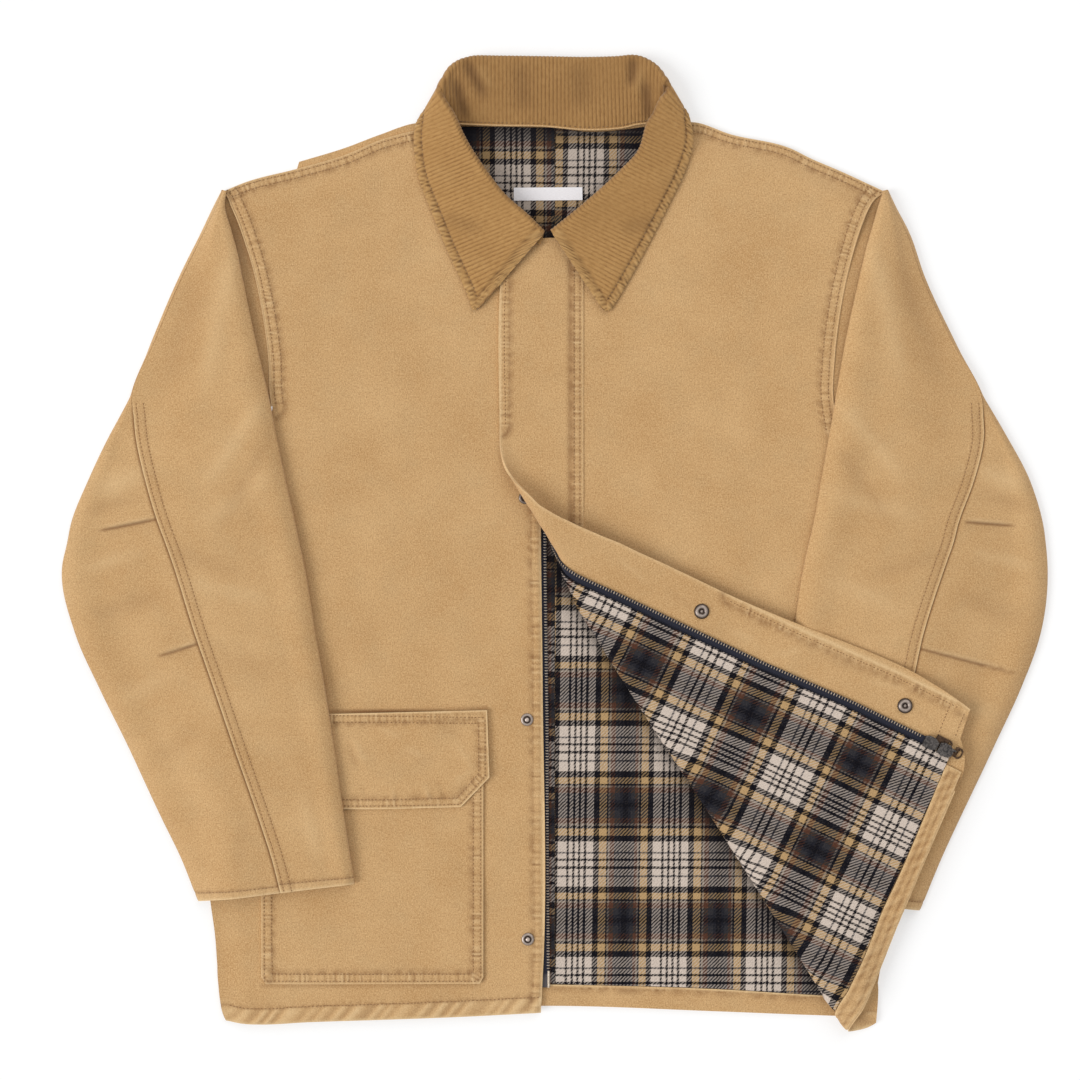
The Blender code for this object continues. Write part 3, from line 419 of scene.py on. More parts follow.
def left_surface(out, along):
    """The left front's outer face: lying, round the bend, then turned back."""
    bend, pull, held = (np.interp(along, table[:, 0], table[:, 1])
                        for table in (FOLD_BEND, TURN_PULL, BEND_HELD))
    half = bend / 2.0
    lying, turned = out <= -half, out >= half
    x, y = fold_point(np.where(lying, out, -half), along)
    low = left_flat_height(x, y)
    tx, ty = fold_point(np.where(turned, -out, -half) + pull, along)
    high = turned_height(tx, ty, along)
    rise = (high - low) / 2.0
    reach = np.maximum(rise * 0.7, (bend - rise * 1.25) * 0.5)
    reach = np.maximum(reach - held, LEAST_REACH)
    round_bend = (np.clip(out, -half, half) + half) / bend
    angle = math.pi * round_bend
    bx, by = fold_point(-half + reach * np.sin(angle) + pull * round_bend, along)
    bz = (low + high) / 2.0 - rise * np.cos(angle)
    return np.stack([np.where(lying, x, np.where(turned, tx, bx)),
                     np.where(lying, y, np.where(turned, ty, by)),
                     np.where(lying, low, np.where(turned, high, bz))], -1)


def on_left(x, y, lift):
    """Places of the left front, turned back past the fold; lift is out from its face."""
    out, along = fold_place(x, y)
    step = 1.5
    across = left_surface(out + step, along) - left_surface(out - step, along)
    down = left_surface(out, along + step) - left_surface(out, along - step)
    return left_surface(out, along) + unit(np.cross(across, down)) * np.asarray(lift)[..., None]


def on_right(x, y, lift):
    return np.stack([x, y, right_height(x, y) + lift], -1)


def on_table(x, y, lift):
    return np.stack([x, y, np.zeros_like(x) + lift], -1)


# ------------------------------------------------------------------ relief on a cloth
HEM_ROLLS = 14.0                         # from one roll of a roped hem to the next


class Relief:
    """Height, worn pale marks with painted highlights, painted shade (the dark mark) and grooves
    gathered at a cloth's flat places.
    """

    def __init__(self, x, y):
        self.x, self.y = x, y
        self.lift = np.zeros_like(x)
        self.wear_and_highlight = np.zeros_like(x)
        self.dark = np.zeros_like(x)

    def seam(self, line, side, rows=(3.0, 9.5), pucker=0.2, pitch=5.6, ridge=0.4, seed=1.0,
             rim=0.6):
        """A turned seam on one side of a line: a worn pale rim, then rows of stitching that
        pucker, with painted shade in the pucker hollows, the stitch grooves and the ruffles
        beyond, and a painted highlight on the pucker crests.
        """
        far, arc, hand = measure(self.x, self.y, line)
        on = (hand * side >= 0) | (far < 0.3)
        last = rows[-1]
        wave = 0.7 * waver(arc, pitch, seed) + 0.5 * waver(arc, pitch * 0.59, seed + 4.0)
        wave *= 0.7 + 0.3 * waver(arc, pitch * 6.3, seed + 1.0)
        held = smooth(0.9, 2.2, far) * (1.0 - smooth(last - 0.5, last + 2.0, far))
        beyond = hump(far, last + 1.8, 2.6) * (far > last - 1.0)
        ruffle = 0.6 + 0.5 * waver(arc + 0.4 * far, pitch * 2.3, seed + 2.0)
        lift = ridge * (1.0 - smooth(last, last + 2.5, far)) + pucker * wave * held
        lift = lift - 0.3 * hump(far, 0.0, 0.6) - 0.5 * pucker * ruffle * beyond
        # painted shade in the pucker hollows and in the ruffles past the last row
        dark = 0.68 * np.maximum(-wave, 0) * held + 0.46 * np.maximum(ruffle, 0) * beyond
        # painted shade in each row's stitch groove
        for row in rows:
            lift -= 0.3 * hump(far, row, 0.9)
            dark += 0.28 * hump(far, row, 0.9)
        # a worn pale rim, and a painted highlight on the pucker crests
        wear_and_highlight = rim * np.exp(-(far / 1.0) ** 2) + 0.55 * np.maximum(wave, 0) * held
        self.lift += np.where(on, lift, 0.0)
        self.dark += np.where(on, dark, 0.0)
        self.wear_and_highlight += np.where(on, wear_and_highlight, 0.0)

    def groove(self, line, width=1.2, depth=0.5, dark=0.6):
        far = measure(self.x, self.y, line)[0]
        self.lift -= depth * hump(far, 0.0, width)
        # painted shadow along the groove line
        self.dark += dark * hump(far, 0.0, width * 1.3)

    def hem(self, line, depth, seed):
        """A turned hem, roped into slanting rolls by its one row of stitching, with a worn pale
        edge, painted highlight on the roll crests and painted shade in their troughs and along
        the stitch line.
        """
        far, arc, _ = measure(self.x, self.y, line)
        wave = waver(arc + 0.9 * far, HEM_ROLLS, seed)
        band = smooth(-1.0, 2.0, far) * (1.0 - smooth(depth - 1.5, depth + 0.5, far))
        above = np.exp(-np.maximum(far - depth, 0) / 4.0) * (far > depth)
        short = waver(arc, HEM_ROLLS * 0.5, seed + 1.7)
        self.lift += 0.55 * wave * band + 0.25 * short * above + 0.3 * band
        self.lift -= 0.55 * hump(far, depth, 1.1) + 0.8 * np.exp(-far / 1.0)
        # worn pale edge, and painted highlight on the roll crests
        self.wear_and_highlight += (0.5 * np.maximum(wave, 0) + 0.1) * band + 0.8 * np.exp(-(far / 1.3) ** 2)
        # painted shade in the roll troughs, along the stitch line and behind the short rolls
        # above
        self.dark += 0.45 * np.maximum(-wave, 0) * band + 0.45 * hump(far, depth, 1.1)
        self.dark += 0.3 * np.maximum(-short, 0) * above

    def edge(self, line, width=1.0, drop=0.5, wear_and_highlight=0.5):
        """A folded edge, rounded over and worn pale."""
        far = measure(self.x, self.y, line)[0]
        self.lift -= drop * np.exp(-(far / width) ** 1.5)
        self.wear_and_highlight += wear_and_highlight * hump(far, 0.5, width * 1.2)

    def crease(self, start, end, width, height):
        """A soft ridge, or a trough where the height is below nothing; the ridge gets a painted
        highlight and the trough painted shade.
        """
        (ax, ay), (bx, by) = start, end
        dx, dy = bx - ax, by - ay
        length = math.hypot(dx, dy)
        t = ((self.x - ax) * dx + (self.y - ay) * dy) / length ** 2
        off = ((self.x - ax) * dy - (self.y - ay) * dx) / length
        fade = smooth(-0.12, 0.3, t) * (1.0 - smooth(0.7, 1.12, t))
        body = hump(off, 0.0, width) * fade
        self.lift += height * body
        # painted highlight on a ridge, painted shade in a trough
        self.wear_and_highlight += 0.3 * min(1.0, abs(height)) * body if height > 0 else 0.0
        self.dark += 0.22 * min(1.1, -height) * body if height < 0 else 0.0

    def creases(self, table):
        for start, end, width, height in table:
            self.crease(start, end, width, height)

    def rumple(self, size, height, seed):
        """Low uneven swells all over, from a few crossing waves."""
        x, y = self.x / size, self.y / size
        swell = np.sin(1.7 * x + 0.9 * y + seed) * np.sin(-0.8 * x + 2.1 * y + 2.3 * seed)
        swell += 0.6 * np.sin(2.9 * x - 2.2 * y + 1.7 * seed) * np.sin(1.1 * x + 3.1 * y + seed)
        self.lift += height * swell


# ------------------------------------------------------------------ meshes
def to_object(name, points, faces, material, pattern=None, marks=None):
    """A named mesh object from points in millimetres, with its flat places and its marks, such as
    worn pale edges with painted highlights and painted shade.
    """
    mesh = bpy.data.meshes.new(name)
    placed = (np.asarray(points) + (0.0, SHIFT_Y, 0.0)) * MM
    mesh.from_pydata(placed.tolist(), [], [tuple(face) for face in faces])
    mesh.materials.append(material)
    mesh.shade_smooth()
    if pattern is not None:
        corners = np.empty(len(mesh.loops), np.int32)
        mesh.loops.foreach_get("vertex_index", corners)
        flat = np.asarray(pattern, np.float32)[corners] * MM
        mesh.uv_layers.new(name="pattern").data.foreach_set("uv", flat.ravel())
    for word, values in (marks or {}).items():
        layer = mesh.attributes.new(word, "FLOAT", "POINT")
        layer.data.foreach_set("value", np.clip(values, 0.0, 1.0).astype(np.float32))
    mesh.set_sharp_from_angle(angle=math.radians(60))
    obj = bpy.data.objects.new(name, mesh)
    bpy.context.scene.collection.objects.link(obj)
    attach(obj, "jacket")
    return obj


def fill(rim, wanted, finest=1.5, levels=3):
    """Triangles inside a rim; wanted gives the spacing at each place."""
    low, high = rim.min(0), rim.max(0)
    picked = []
    for level in range(levels):
        gap = finest * 2 ** level
        xs = np.arange(low[0], high[0], gap)
        ys = np.arange(low[1], high[1], gap)
        gx, gy = (a.ravel() for a in np.meshgrid(xs, ys))
        if level < levels - 1:
            column, row = np.meshgrid(np.arange(len(xs)), np.arange(len(ys)))
            new = ((column % 2 == 1) | (row % 2 == 1)).ravel()
            gx, gy = gx[new], gy[new]
        keep = inside(gx, gy, rim)
        gx, gy = gx[keep], gy[keep]
        want = wanted(gx, gy)
        keep = want < gap * 1.42 if level < levels - 1 else np.ones(gx.shape, bool)
        gx, gy, want = gx[keep], gy[keep], want[keep]
        far = measure(gx, gy, np.vstack([rim, rim[:1]]))[0]
        keep = far > 0.55 * np.minimum(np.maximum(want, finest), gap)
        picked.append(np.stack([gx[keep], gy[keep]], 1))
    points = np.vstack([rim] + picked)
    count = len(rim)
    edges = [(i, (i + 1) % count) for i in range(count)]
    found = delaunay_2d_cdt([Vector(p) for p in points], edges, [], 1, 1e-6)
    if len(found[0]) != len(points):
        raise ValueError("a rim crosses itself or repeats a point")
    return points, np.array(found[2])


def even(gap):
    """The same spacing everywhere."""
    return lambda x, y: np.full(x.shape, gap)


RIM_STEP = 2.5


def panel(name, outline, place, low, high, material, dress=None, fine=even(3.0), under=False,
          coarse=6.0):
    """A flat piece laid on a surface as a closed shell, its shown face finely meshed."""
    rim = line_through(outline, RIM_STEP, closed=True)
    shown, shown_faces = fill(rim, fine)
    back, back_faces = fill(rim, even(coarse), min(3.0, coarse))
    sign = -1.0 if under else 1.0
    points, marks = [], []
    for spots, lift in ((shown, low if under else high), (back, high if under else low)):
        relief = Relief(spots[:, 0], spots[:, 1])
        if dress:
            dress(relief)
        offset = relief.lift if spots is shown else np.clip(relief.lift, -2.0, 2.0) * 0.7
        points.append(place(spots[:, 0], spots[:, 1], lift + sign * offset))
        marks.append((relief.wear_and_highlight, relief.dark))
    start, count = len(shown), len(rim)
    faces = shown_faces.tolist() + (back_faces[:, ::-1] + start).tolist()
    faces += [(i, i + start, j + start, j)
              for i, j in zip(range(count), np.roll(range(count), -1).tolist())]
    wear_and_highlight, dark = (np.concatenate(values) for values in zip(*marks))
    obj = to_object(name, np.vstack(points), faces, material, np.vstack([shown, back]),
                    {"wear_and_highlight": wear_and_highlight, "dark": dark})
    upright(obj)
    return obj


def upright(obj):
    """Turns a closed shell's faces outward."""
    bm = bmesh.new()
    bm.from_mesh(obj.data)
    bmesh.ops.recalc_face_normals(bm, faces=bm.faces)
    bm.to_mesh(obj.data)
    bm.free()


def declare(obj, outline, held, rests_on, *nodes, slot, sewn=()):
    """Hides the imported solids that a flat-cut piece stands for; its finish, its cut and what is
    sewn on it are passed in but not used.
    """
    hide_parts(*nodes)


def near_lines(lines, finest=1.5, band=11.0, coarse=4.0):
    """A spacing that is fine beside seams and edges and opens out away from them."""
    def wanted(x, y):
        far = np.min([measure(x, y, line)[0] for line in lines], axis=0)
        return mix(finest, coarse, smooth(band, band + 14.0, far))
    return wanted


def normals(grid):
    return unit(np.cross(np.gradient(grid, axis=0), np.gradient(grid, axis=1)))


def close_grids(name, outer, inner, material, pattern, marks, start=0, stop=None, cut=1):
    """Two like grids joined round their rims; past the cut they lie only between two rows."""
    count, width = outer.shape[:2]
    stop = count - 1 if stop is None else stop
    index = np.arange(count * width).reshape(count, width)
    quads = np.vstack([np.stack([part[:-1, :-1], part[:-1, 1:], part[1:, 1:], part[1:, :-1]],
                                -1).reshape(-1, 4)
                       for part in (index[:, :cut], index[start:stop + 1, cut - 1:])])
    rim = np.concatenate([index[:, 0], index[-1, :cut], index[stop:, cut - 1][::-1],
                          index[stop, cut - 1:], index[start:stop + 1, -1][::-1],
                          index[start, cut - 1:][::-1], index[:start + 1, cut - 1][::-1],
                          index[0, :cut][::-1]])
    rim = list(dict.fromkeys(rim.tolist()))
    size = count * width
    faces = quads.tolist() + (quads[:, ::-1] + size).tolist()
    faces += [[a, b, b + size, a + size] for a, b in zip(rim, rim[1:] + rim[:1])]
    used = np.unique(np.concatenate([np.ravel(face) for face in faces]))
    order = np.full(2 * size, -1)
    order[used] = np.arange(len(used))
    points = np.vstack([outer.reshape(-1, 3), inner.reshape(-1, 3)])[used]
    flats = np.concatenate([pattern.reshape(-1, 2)] * 2)[used]
    values = {word: np.concatenate([grid.ravel()] * 2)[used] for word, grid in marks.items()}
    obj = to_object(name, points, [order[face].tolist() for face in faces], material, flats,
                    values)
    upright(obj)
    return obj


TUBE_SIDES = 8


def turns_round(sides):
    return np.arange(sides) * 2.0 * math.pi / sides


def tube(name, points, across_radius, up_radius, material, worn=0.35):
    """A closed rounded bar along points, its two radii across the floor and up from it."""
    run = unit(np.gradient(points, axis=0))
    across = unit(np.cross((0.0, 0.0, 1.0), run))
    up = np.cross(run, across)
    sides = TUBE_SIDES
    turns = turns_round(sides)
    rings = (points[:, None] + across[:, None] * (np.cos(turns) * across_radius)[None, :, None]
             + up[:, None] * (np.sin(turns) * up_radius)[None, :, None])
    count = len(points)
    flats = np.stack([np.tile(turns * across_radius, count),
                      np.repeat(runs_along(points), sides)], 1)
    faces = [tuple(range(sides))[::-1], tuple((count - 1) * sides + k for k in range(sides))]
    for i in range(count - 1):
        for k in range(sides):
            j = (k + 1) % sides
            faces.append((i * sides + k, i * sides + j, (i + 1) * sides + j, (i + 1) * sides + k))
    wear_and_highlight = np.full(count * sides, worn)
    obj = to_object(name, rings.reshape(-1, 3), faces, material, flats,
                    {"wear_and_highlight": wear_and_highlight, "dark": wear_and_highlight * 0.0})
    upright(obj)
    return obj


# a bead's rings: place along its half length, share of its radius
BEAD_RINGS = ((-0.7, 0.75), (0.0, 1.0), (0.7, 0.75))
BEAD_SIDES = 5


def beads(name, spots, runs, ups, size, material):
    """Small rounded bars lying along their runs, as stitches and zip teeth do."""
    spots, runs, ups = (np.asarray(rows, float) for rows in (spots, runs, ups))
    runs = unit(runs)
    across = unit(np.cross(ups, runs))
    axes = np.stack([runs, across, np.cross(runs, across)], 1)
    turns = turns_round(BEAD_SIDES)
    form = np.array([(-1.0, 0.0, 0.0)]
                    + [(at, share * math.cos(turn), share * math.sin(turn))
                       for at, share in BEAD_RINGS for turn in turns] + [(1.0, 0.0, 0.0)])
    points = spots[:, None] + (form * size)[None] @ axes
    last, faces = len(form) - 1, []
    rings = [[1 + ring * BEAD_SIDES + k for k in range(BEAD_SIDES)] for ring in range(3)]
    for k in range(BEAD_SIDES):
        j = (k + 1) % BEAD_SIDES
        faces.append((0, rings[0][j], rings[0][k]))
        faces += [(a[k], a[j], b[j], b[k]) for a, b in zip(rings, rings[1:])]
        faces.append((last, rings[-1][k], rings[-1][j]))
    placed = [tuple(v + i * len(form) for v in face) for i in range(len(spots))
              for face in faces]
    obj = to_object(name, points.reshape(-1, 3), placed, material)
    return obj


class Sewing:
    """Rows of stitches laid down onto one cloth."""

    def __init__(self, cloth):
        corners = [v.co / MM - Vector((0.0, SHIFT_Y, 0.0)) for v in cloth.data.vertices]
        faces = [tuple(face.vertices) for face in cloth.data.polygons]
        self.tree = BVHTree.FromPolygons(corners, faces)
        self.spots, self.runs, self.ups = [], [], []

    def row(self, points, pitch=3.1, near=5.0):
        """Stitches down a line of places, kept where the cloth lies near the height given."""
        run = runs_along(points)
        at = np.arange(pitch / 2, run[-1], pitch)
        at = at + 0.15 * pitch * np.sin(at * 1.7)
        spots, ahead, behind = (np.stack([np.interp(at + step, run, points[:, k])
                                          for k in range(3)], 1) for step in (0.0, 0.6, -0.6))
        for spot, way in zip(spots, ahead - behind):
            hit, normal, _, _ = self.tree.ray_cast(Vector((spot[0], spot[1], 100.0)),
                                                   Vector((0.0, 0.0, -1.0)))
            if hit is None or abs(hit.z - spot[2]) > near:
                continue
            normal = -normal if normal.z < 0 else normal
            way = Vector(way)
            way -= normal * way.dot(normal)
            self.spots.append(hit + normal * 0.12)
            self.runs.append(way)
            self.ups.append(normal)
        return self

    def rows(self, place, *lines, **given):
        """Rows down lines of flat places, laid out by a placing function."""
        for line in lines:
            line = line_through(line, 3.0)
            self.row(place(line[:, 0], line[:, 1], np.zeros(len(line))), **given)
        return self

    def finish(self, name, material=None, size=(0.9, 0.46, 0.36)):
        return beads(name, self.spots, self.runs, self.ups, size, material or THREAD)


# ------------------------------------------------------------------ materials
def srgb(red, green, blue):
    """A linear colour from the 0 to 255 values of a screen colour."""
    def line(value):
        value /= 255.0
        return value / 12.92 if value <= 0.04045 else ((value + 0.055) / 1.055) ** 2.4
    return (line(red), line(green), line(blue), 1.0)


class Shader:
    """A material and short ways to add nodes to it."""

    def __init__(self, name):
        self.material = bpy.data.materials.new(name)
        self.material.use_nodes = True
        self.tree = self.material.node_tree
        self.surface = self.tree.nodes["Principled BSDF"]

    def set(self, **values):
        for name, value in values.items():
            socket = self.surface.inputs[name.replace("_", " ")]
            if isinstance(value, bpy.types.NodeSocket):
                self.tree.links.new(value, socket)
            else:
                socket.default_value = value

    def add(self, kind, *inputs, **props):
        made = self.tree.nodes.new("ShaderNode" + kind)
        for name, value in props.items():
            setattr(made, name, value)
        for place, value in enumerate(inputs):
            if isinstance(value, bpy.types.NodeSocket):
                self.tree.links.new(value, made.inputs[place])
            elif value is not None:
                made.inputs[place].default_value = value
        return made

    def math(self, operation, *values):
        return self.add("Math", *values, operation=operation).outputs[0]

    def mix(self, share, a, b, blend="MIX"):
        return self.add("MixRGB", share, a, b, blend_type=blend).outputs[0]

    def tint(self, base, value, low, high, share, colour):
        """A base turned by up to a share to a colour, as a value goes from low to high."""
        return self.mix(self.stretch(value, low, high, 0.0, share), base, srgb(*colour))

    def tint_marked(self, base, word, share, colour):
        return self.mix(self.math("MULTIPLY", self.mark(word), share), base, srgb(*colour))

    def pattern(self):
        return self.add("UVMap", uv_map="pattern").outputs[0]

    def solid(self):
        return self.add("TexCoord").outputs["Object"]

    def mark(self, word):
        return self.add("Attribute", attribute_name=word).outputs["Fac"]

    def scaled(self, vector, x, y, turn=0.0):
        return self.add("Mapping", vector, (0, 0, 0), (0, 0, turn), (x, y, 1.0)).outputs[0]

    def noise(self, vector, scale, detail=3.0, rough=0.55):
        return self.add("TexNoise", vector, None, scale, detail, rough).outputs[0]

    def stretch(self, value, low, high, start=0.0, end=1.0):
        return self.add("MapRange", value, low, high, start, end, clamp=True).outputs[0]

    def bump(self, height, distance, strength=1.0, before=None):
        made = self.tree.nodes.new("ShaderNodeBump")
        made.inputs["Strength"].default_value = strength
        made.inputs["Distance"].default_value = distance
        self.tree.links.new(height, made.inputs["Height"])
        if before is not None:
            self.tree.links.new(before, made.inputs["Normal"])
        return made.outputs[0]

    def yarns(self, place, repeat, colours, starts):
        """Flat stripes of yarn that come again every repeat, each from its own start on."""
        share = self.math("FRACT", self.math("DIVIDE", place, repeat * MM))
        made = self.add("ValToRGB", share)
        made.color_ramp.interpolation = "CONSTANT"
        band = made.color_ramp.elements
        for number, (colour, start) in enumerate(zip(colours.split(), starts)):
            stop = band[number] if number < 2 else band.new(start / repeat)
            stop.position, stop.color = start / repeat, srgb(*YARNS[colour])
        return made.outputs[0]


def canvas():
    """Tan cotton canvas, washed with sand: brushed, flecked, pale on worn edges and painted
    highlights, darkened by painted shade.
    """
    s = Shader("sand-washed canvas")
    flat = s.pattern()
    patch = s.noise(flat, 15.0, 4.0, 0.6)
    haze = s.noise(flat, 34.0, 3.0, 0.6)
    brush = s.noise(s.scaled(flat, 560.0, 230.0), 1.0, 3.0, 0.7)
    fleck = s.noise(s.scaled(flat, 1000.0, 760.0), 1.0, 2.0, 0.75)
    base = s.mix(s.stretch(patch, 0.3, 0.7), srgb(186, 143, 91), srgb(203, 163, 112))
    for value, low, high, share, colour in (
            (haze, 0.46, 0.72, 0.4, (186, 152, 106)), (brush, 0.45, 0.72, 0.34, (218, 182, 130)),
            (brush, 0.46, 0.28, 0.22, (168, 125, 75)), (fleck, 0.5, 0.72, 0.66, (150, 107, 58)),
            (fleck, 0.5, 0.28, 0.66, (226, 190, 138))):
        base = s.tint(base, value, low, high, share, colour)
    # painted shade, darkest in seam, groove, hem and crease hollows
    base = s.tint_marked(base, "dark", 0.88, (122, 80, 38))
    # paled where worn and where the mark carries a painted highlight
    worn_and_highlit = s.math("MULTIPLY", s.mark("wear_and_highlight"), s.stretch(brush, 0.3, 0.6, 0.6, 0.95))
    base = s.mix(worn_and_highlit, base, srgb(229, 198, 150))
    s.set(Base_Color=base, Roughness=0.92, Sheen_Weight=0.12, Sheen_Roughness=0.6)
    twill = s.add("TexWave", s.scaled(flat, 1.0, 1.0, math.radians(35)), 420.0, 0.8,
                  wave_type="BANDS").outputs[1]
    height = s.math("ADD", s.math("MULTIPLY", twill, 0.3), fleck)
    s.set(Normal=s.bump(height, 0.0004, 0.6, s.bump(brush, 0.0006, 0.5)))
    return s.material


YARNS = {"cream": (216, 200, 186), "fawn": (138, 124, 110), "tan": (190, 156, 110),
         "rust": (86, 54, 40), "mist": (88, 84, 84), "slate": (46, 45, 49),
         "smoke": (27, 28, 36), "navy": (8, 8, 17)}
# the second half of a repeat runs through the same colours both ways
DARK_HALF = "tan navy fawn rust slate smoke navy smoke slate rust fawn navy tan navy"
# one repeat in mm, its yarns in turn, and where each starts down the repeat
WARP = (81.0, "navy cream " * 5 + "navy " + DARK_HALF,
        (0.0, 2.4, 10.0, 12.0, 14.9, 16.9, 19.7, 21.7, 24.6, 26.6, 32.7, 37.4, 43.8, 45.2,
         46.6, 50.4, 55.0, 57.4, 61.9, 64.3, 67.6, 70.2, 71.4, 72.9, 78.9))
WEFT = (98.5, "navy cream mist cream navy cream navy cream mist cream navy " + DARK_HALF,
        (0.0, 2.2, 11.0, 12.5, 16.6, 18.7, 23.3, 25.4, 31.0, 32.6, 40.6, 46.0, 51.4, 53.0,
         54.6, 59.0, 65.0, 67.4, 71.5, 74.0, 80.6, 85.2, 87.0, 89.4, 95.6))
DARK_SHARE = 0.5                         # how far brushing lets the darker yarn show through
YARN_WOBBLE = 1.1                        # how far the yarns stray, in mm
HATCH = 3.1                              # mm from one slanting rib of the twill to the next


def plaid(name, start_x, start_y, lean=0.0):
    """A brushed twill check, its repeats counted from one dark warp and one dark weft."""
    s = Shader(name)
    flat = s.pattern()
    wobble = s.add("TexNoise", flat, None, 420.0)
    shift = s.add("VectorMath", wobble.outputs[1], (0.5, 0.5, 0.5), operation="SUBTRACT")
    small = s.add("VectorMath", shift.outputs[0], None, None, YARN_WOBBLE * MM,
                  operation="SCALE")
    place = s.add("VectorMath", flat, small.outputs[0], operation="ADD").outputs[0]
    x, y = s.add("SeparateXYZ", place).outputs[:2]
    leaning = s.math("ADD", x, s.math("MULTIPLY", y, -lean))
    warp = s.yarns(s.math("SUBTRACT", leaning, start_x * MM), *WARP)
    weft = s.yarns(s.math("SUBTRACT", start_y * MM, y), *WEFT)
    twill = s.math("PINGPONG", s.math("SUBTRACT", x, y), HATCH * MM / 2)
    over = s.stretch(twill, HATCH * MM * 0.12, HATCH * MM * 0.38)
    colour = s.mix(over, warp, weft)
    colour = s.mix(DARK_SHARE, colour, s.mix(1.0, warp, weft, "DARKEN"))
    fuzz = s.noise(flat, 620.0, 3.0, 0.75)
    colour = s.tint(colour, fuzz, 0.52, 0.8, 0.16, (150, 132, 118))
    colour = s.tint(colour, fuzz, 0.5, 0.22, 0.42, (34, 28, 30))
    # painted shade where the dark mark is set, such as at the neck, under the fold and beside the
    # zip
    colour = s.tint_marked(colour, "dark", 0.85, (20, 17, 20))
    s.set(Base_Color=colour, Roughness=1.0, Specular_IOR_Level=0.15)
    s.set(Normal=s.bump(s.math("ADD", fuzz, s.math("MULTIPLY", over, 0.3)), 0.0007, 0.8))
    return s.material


def corduroy():
    """Cotton corduroy, paler on its wales from wear and painted highlight, darker between them
    with painted shade.
    """
    s = Shader("corduroy")
    flat = s.pattern()
    wale = s.mark("wale")
    pile = s.noise(s.scaled(flat, 560.0, 190.0), 1.0, 4.0, 0.75)
    tone = s.noise(flat, 26.0, 4.0)
    # the wale mark runs from the valleys, darkened as painted shade, up to the wale tops
    base = s.mix(s.stretch(wale, 0.0, 0.9), srgb(141, 99, 51), srgb(174, 131, 76))
    base = s.tint(base, pile, 0.42, 0.72, 0.5, (199, 157, 100))
    base = s.tint(base, pile, 0.46, 0.25, 0.5, (128, 89, 47))
    base = s.tint(base, tone, 0.4, 0.65, 0.4, (158, 116, 64))
    # painted shade where the dark mark is set; then paled where worn and on painted highlights
    base = s.tint_marked(base, "dark", 0.8, (92, 60, 28))
    base = s.tint_marked(base, "wear_and_highlight", 0.7, (206, 170, 115))
    s.set(Base_Color=base, Roughness=0.95, Sheen_Weight=0.25, Sheen_Roughness=0.45)
    s.set(Normal=s.bump(pile, 0.0006, 0.8))
    return s.material


def tape_cloth():
    s = Shader("zip tape")
    weave = s.add("TexWave", s.scaled(s.pattern(), 1.0, 1.0, math.radians(45)), 900.0,
                  0.5).outputs[1]
    base = s.mix(weave, srgb(16, 18, 34), srgb(30, 33, 52))
    base = s.mix(s.mark("dark"), base, srgb(84, 79, 81))
    s.set(Base_Color=base, Roughness=0.85, Sheen_Weight=0.1)
    s.set(Normal=s.bump(weave, 0.0002, 0.5))
    return s.material


def satin():
    s = Shader("label satin")
    weave = s.noise(s.scaled(s.pattern(), 400.0, 5000.0), 1.0, 2.0)
    base = s.mix(s.stretch(weave, 0.3, 0.7), srgb(222, 217, 219), srgb(240, 237, 238))
    s.set(Base_Color=base, Roughness=0.5, Sheen_Weight=0.2)
    s.set(Normal=s.bump(weave, 0.0001, 0.4))
    return s.material


def metal(name, dark, light, rough=0.38, metallic=0.75):
    """Plated brass, its two tones given as screen colours."""
    s = Shader(name)
    cloud = s.noise(s.solid(), 700.0, 4.0, 0.6)
    base = s.mix(s.stretch(cloud, 0.35, 0.65), srgb(*dark), srgb(*light))
    s.set(Base_Color=base, Metallic=metallic, Roughness=s.stretch(cloud, 0.2, 0.8, rough - 0.1,
                                                             rough + 0.15))
    s.set(Normal=s.bump(cloud, 0.00008, 0.5))
    return s.material


def thread(name, colour):
    s = Shader(name)
    twist = s.noise(s.solid(), 2500.0, 2.0)
    s.set(Base_Color=s.tint(srgb(*colour), twist, 0.4, 0.7, 0.3, (214, 182, 134)),
          Roughness=0.8, Sheen_Weight=0.2)
    return s.material


CLOTH = canvas()
CORD_CLOTH = corduroy()
TAPE_CLOTH = tape_cloth()
PLAID_RIGHT = plaid("plaid lining, right half of the back", -53.7, 322.7)
PLAID_LEFT = plaid("plaid lining, left half of the back", 3.8, -58.0, 0.015)
PLAID_FRONT = plaid("plaid lining, left front", 60.0, -58.0)
THREAD = thread("tan thread", (138, 96, 50))
COLLAR_THREAD = thread("brown thread", (108, 72, 34))

# ------------------------------------------------------------------ the lines of the seams
SEAM_STEP = 4.0
SHOULDER_ROWS, ARMHOLE_ROWS, HEM_ROW = (2.4, 7.6), (3.2, 9.4), 13.5  # stitching, off its edge
EDGE_R = FRONT_RIGHT[:5]
HEM_R = line_through(FRONT_RIGHT[4:11], SEAM_STEP)
ARMHOLE_R = line_through(FRONT_RIGHT[35:23:-1], SEAM_STEP)
SHOULDER_R = line_through(FRONT_RIGHT[35:41], SEAM_STEP)
SHOULDER_L = line_through(FRONT_LEFT[4:11], SEAM_STEP)
ARMHOLE_L = line_through(FRONT_LEFT[10:20], SEAM_STEP)
HEM_L = line_through(FRONT_LEFT[:-9:-1], SEAM_STEP)


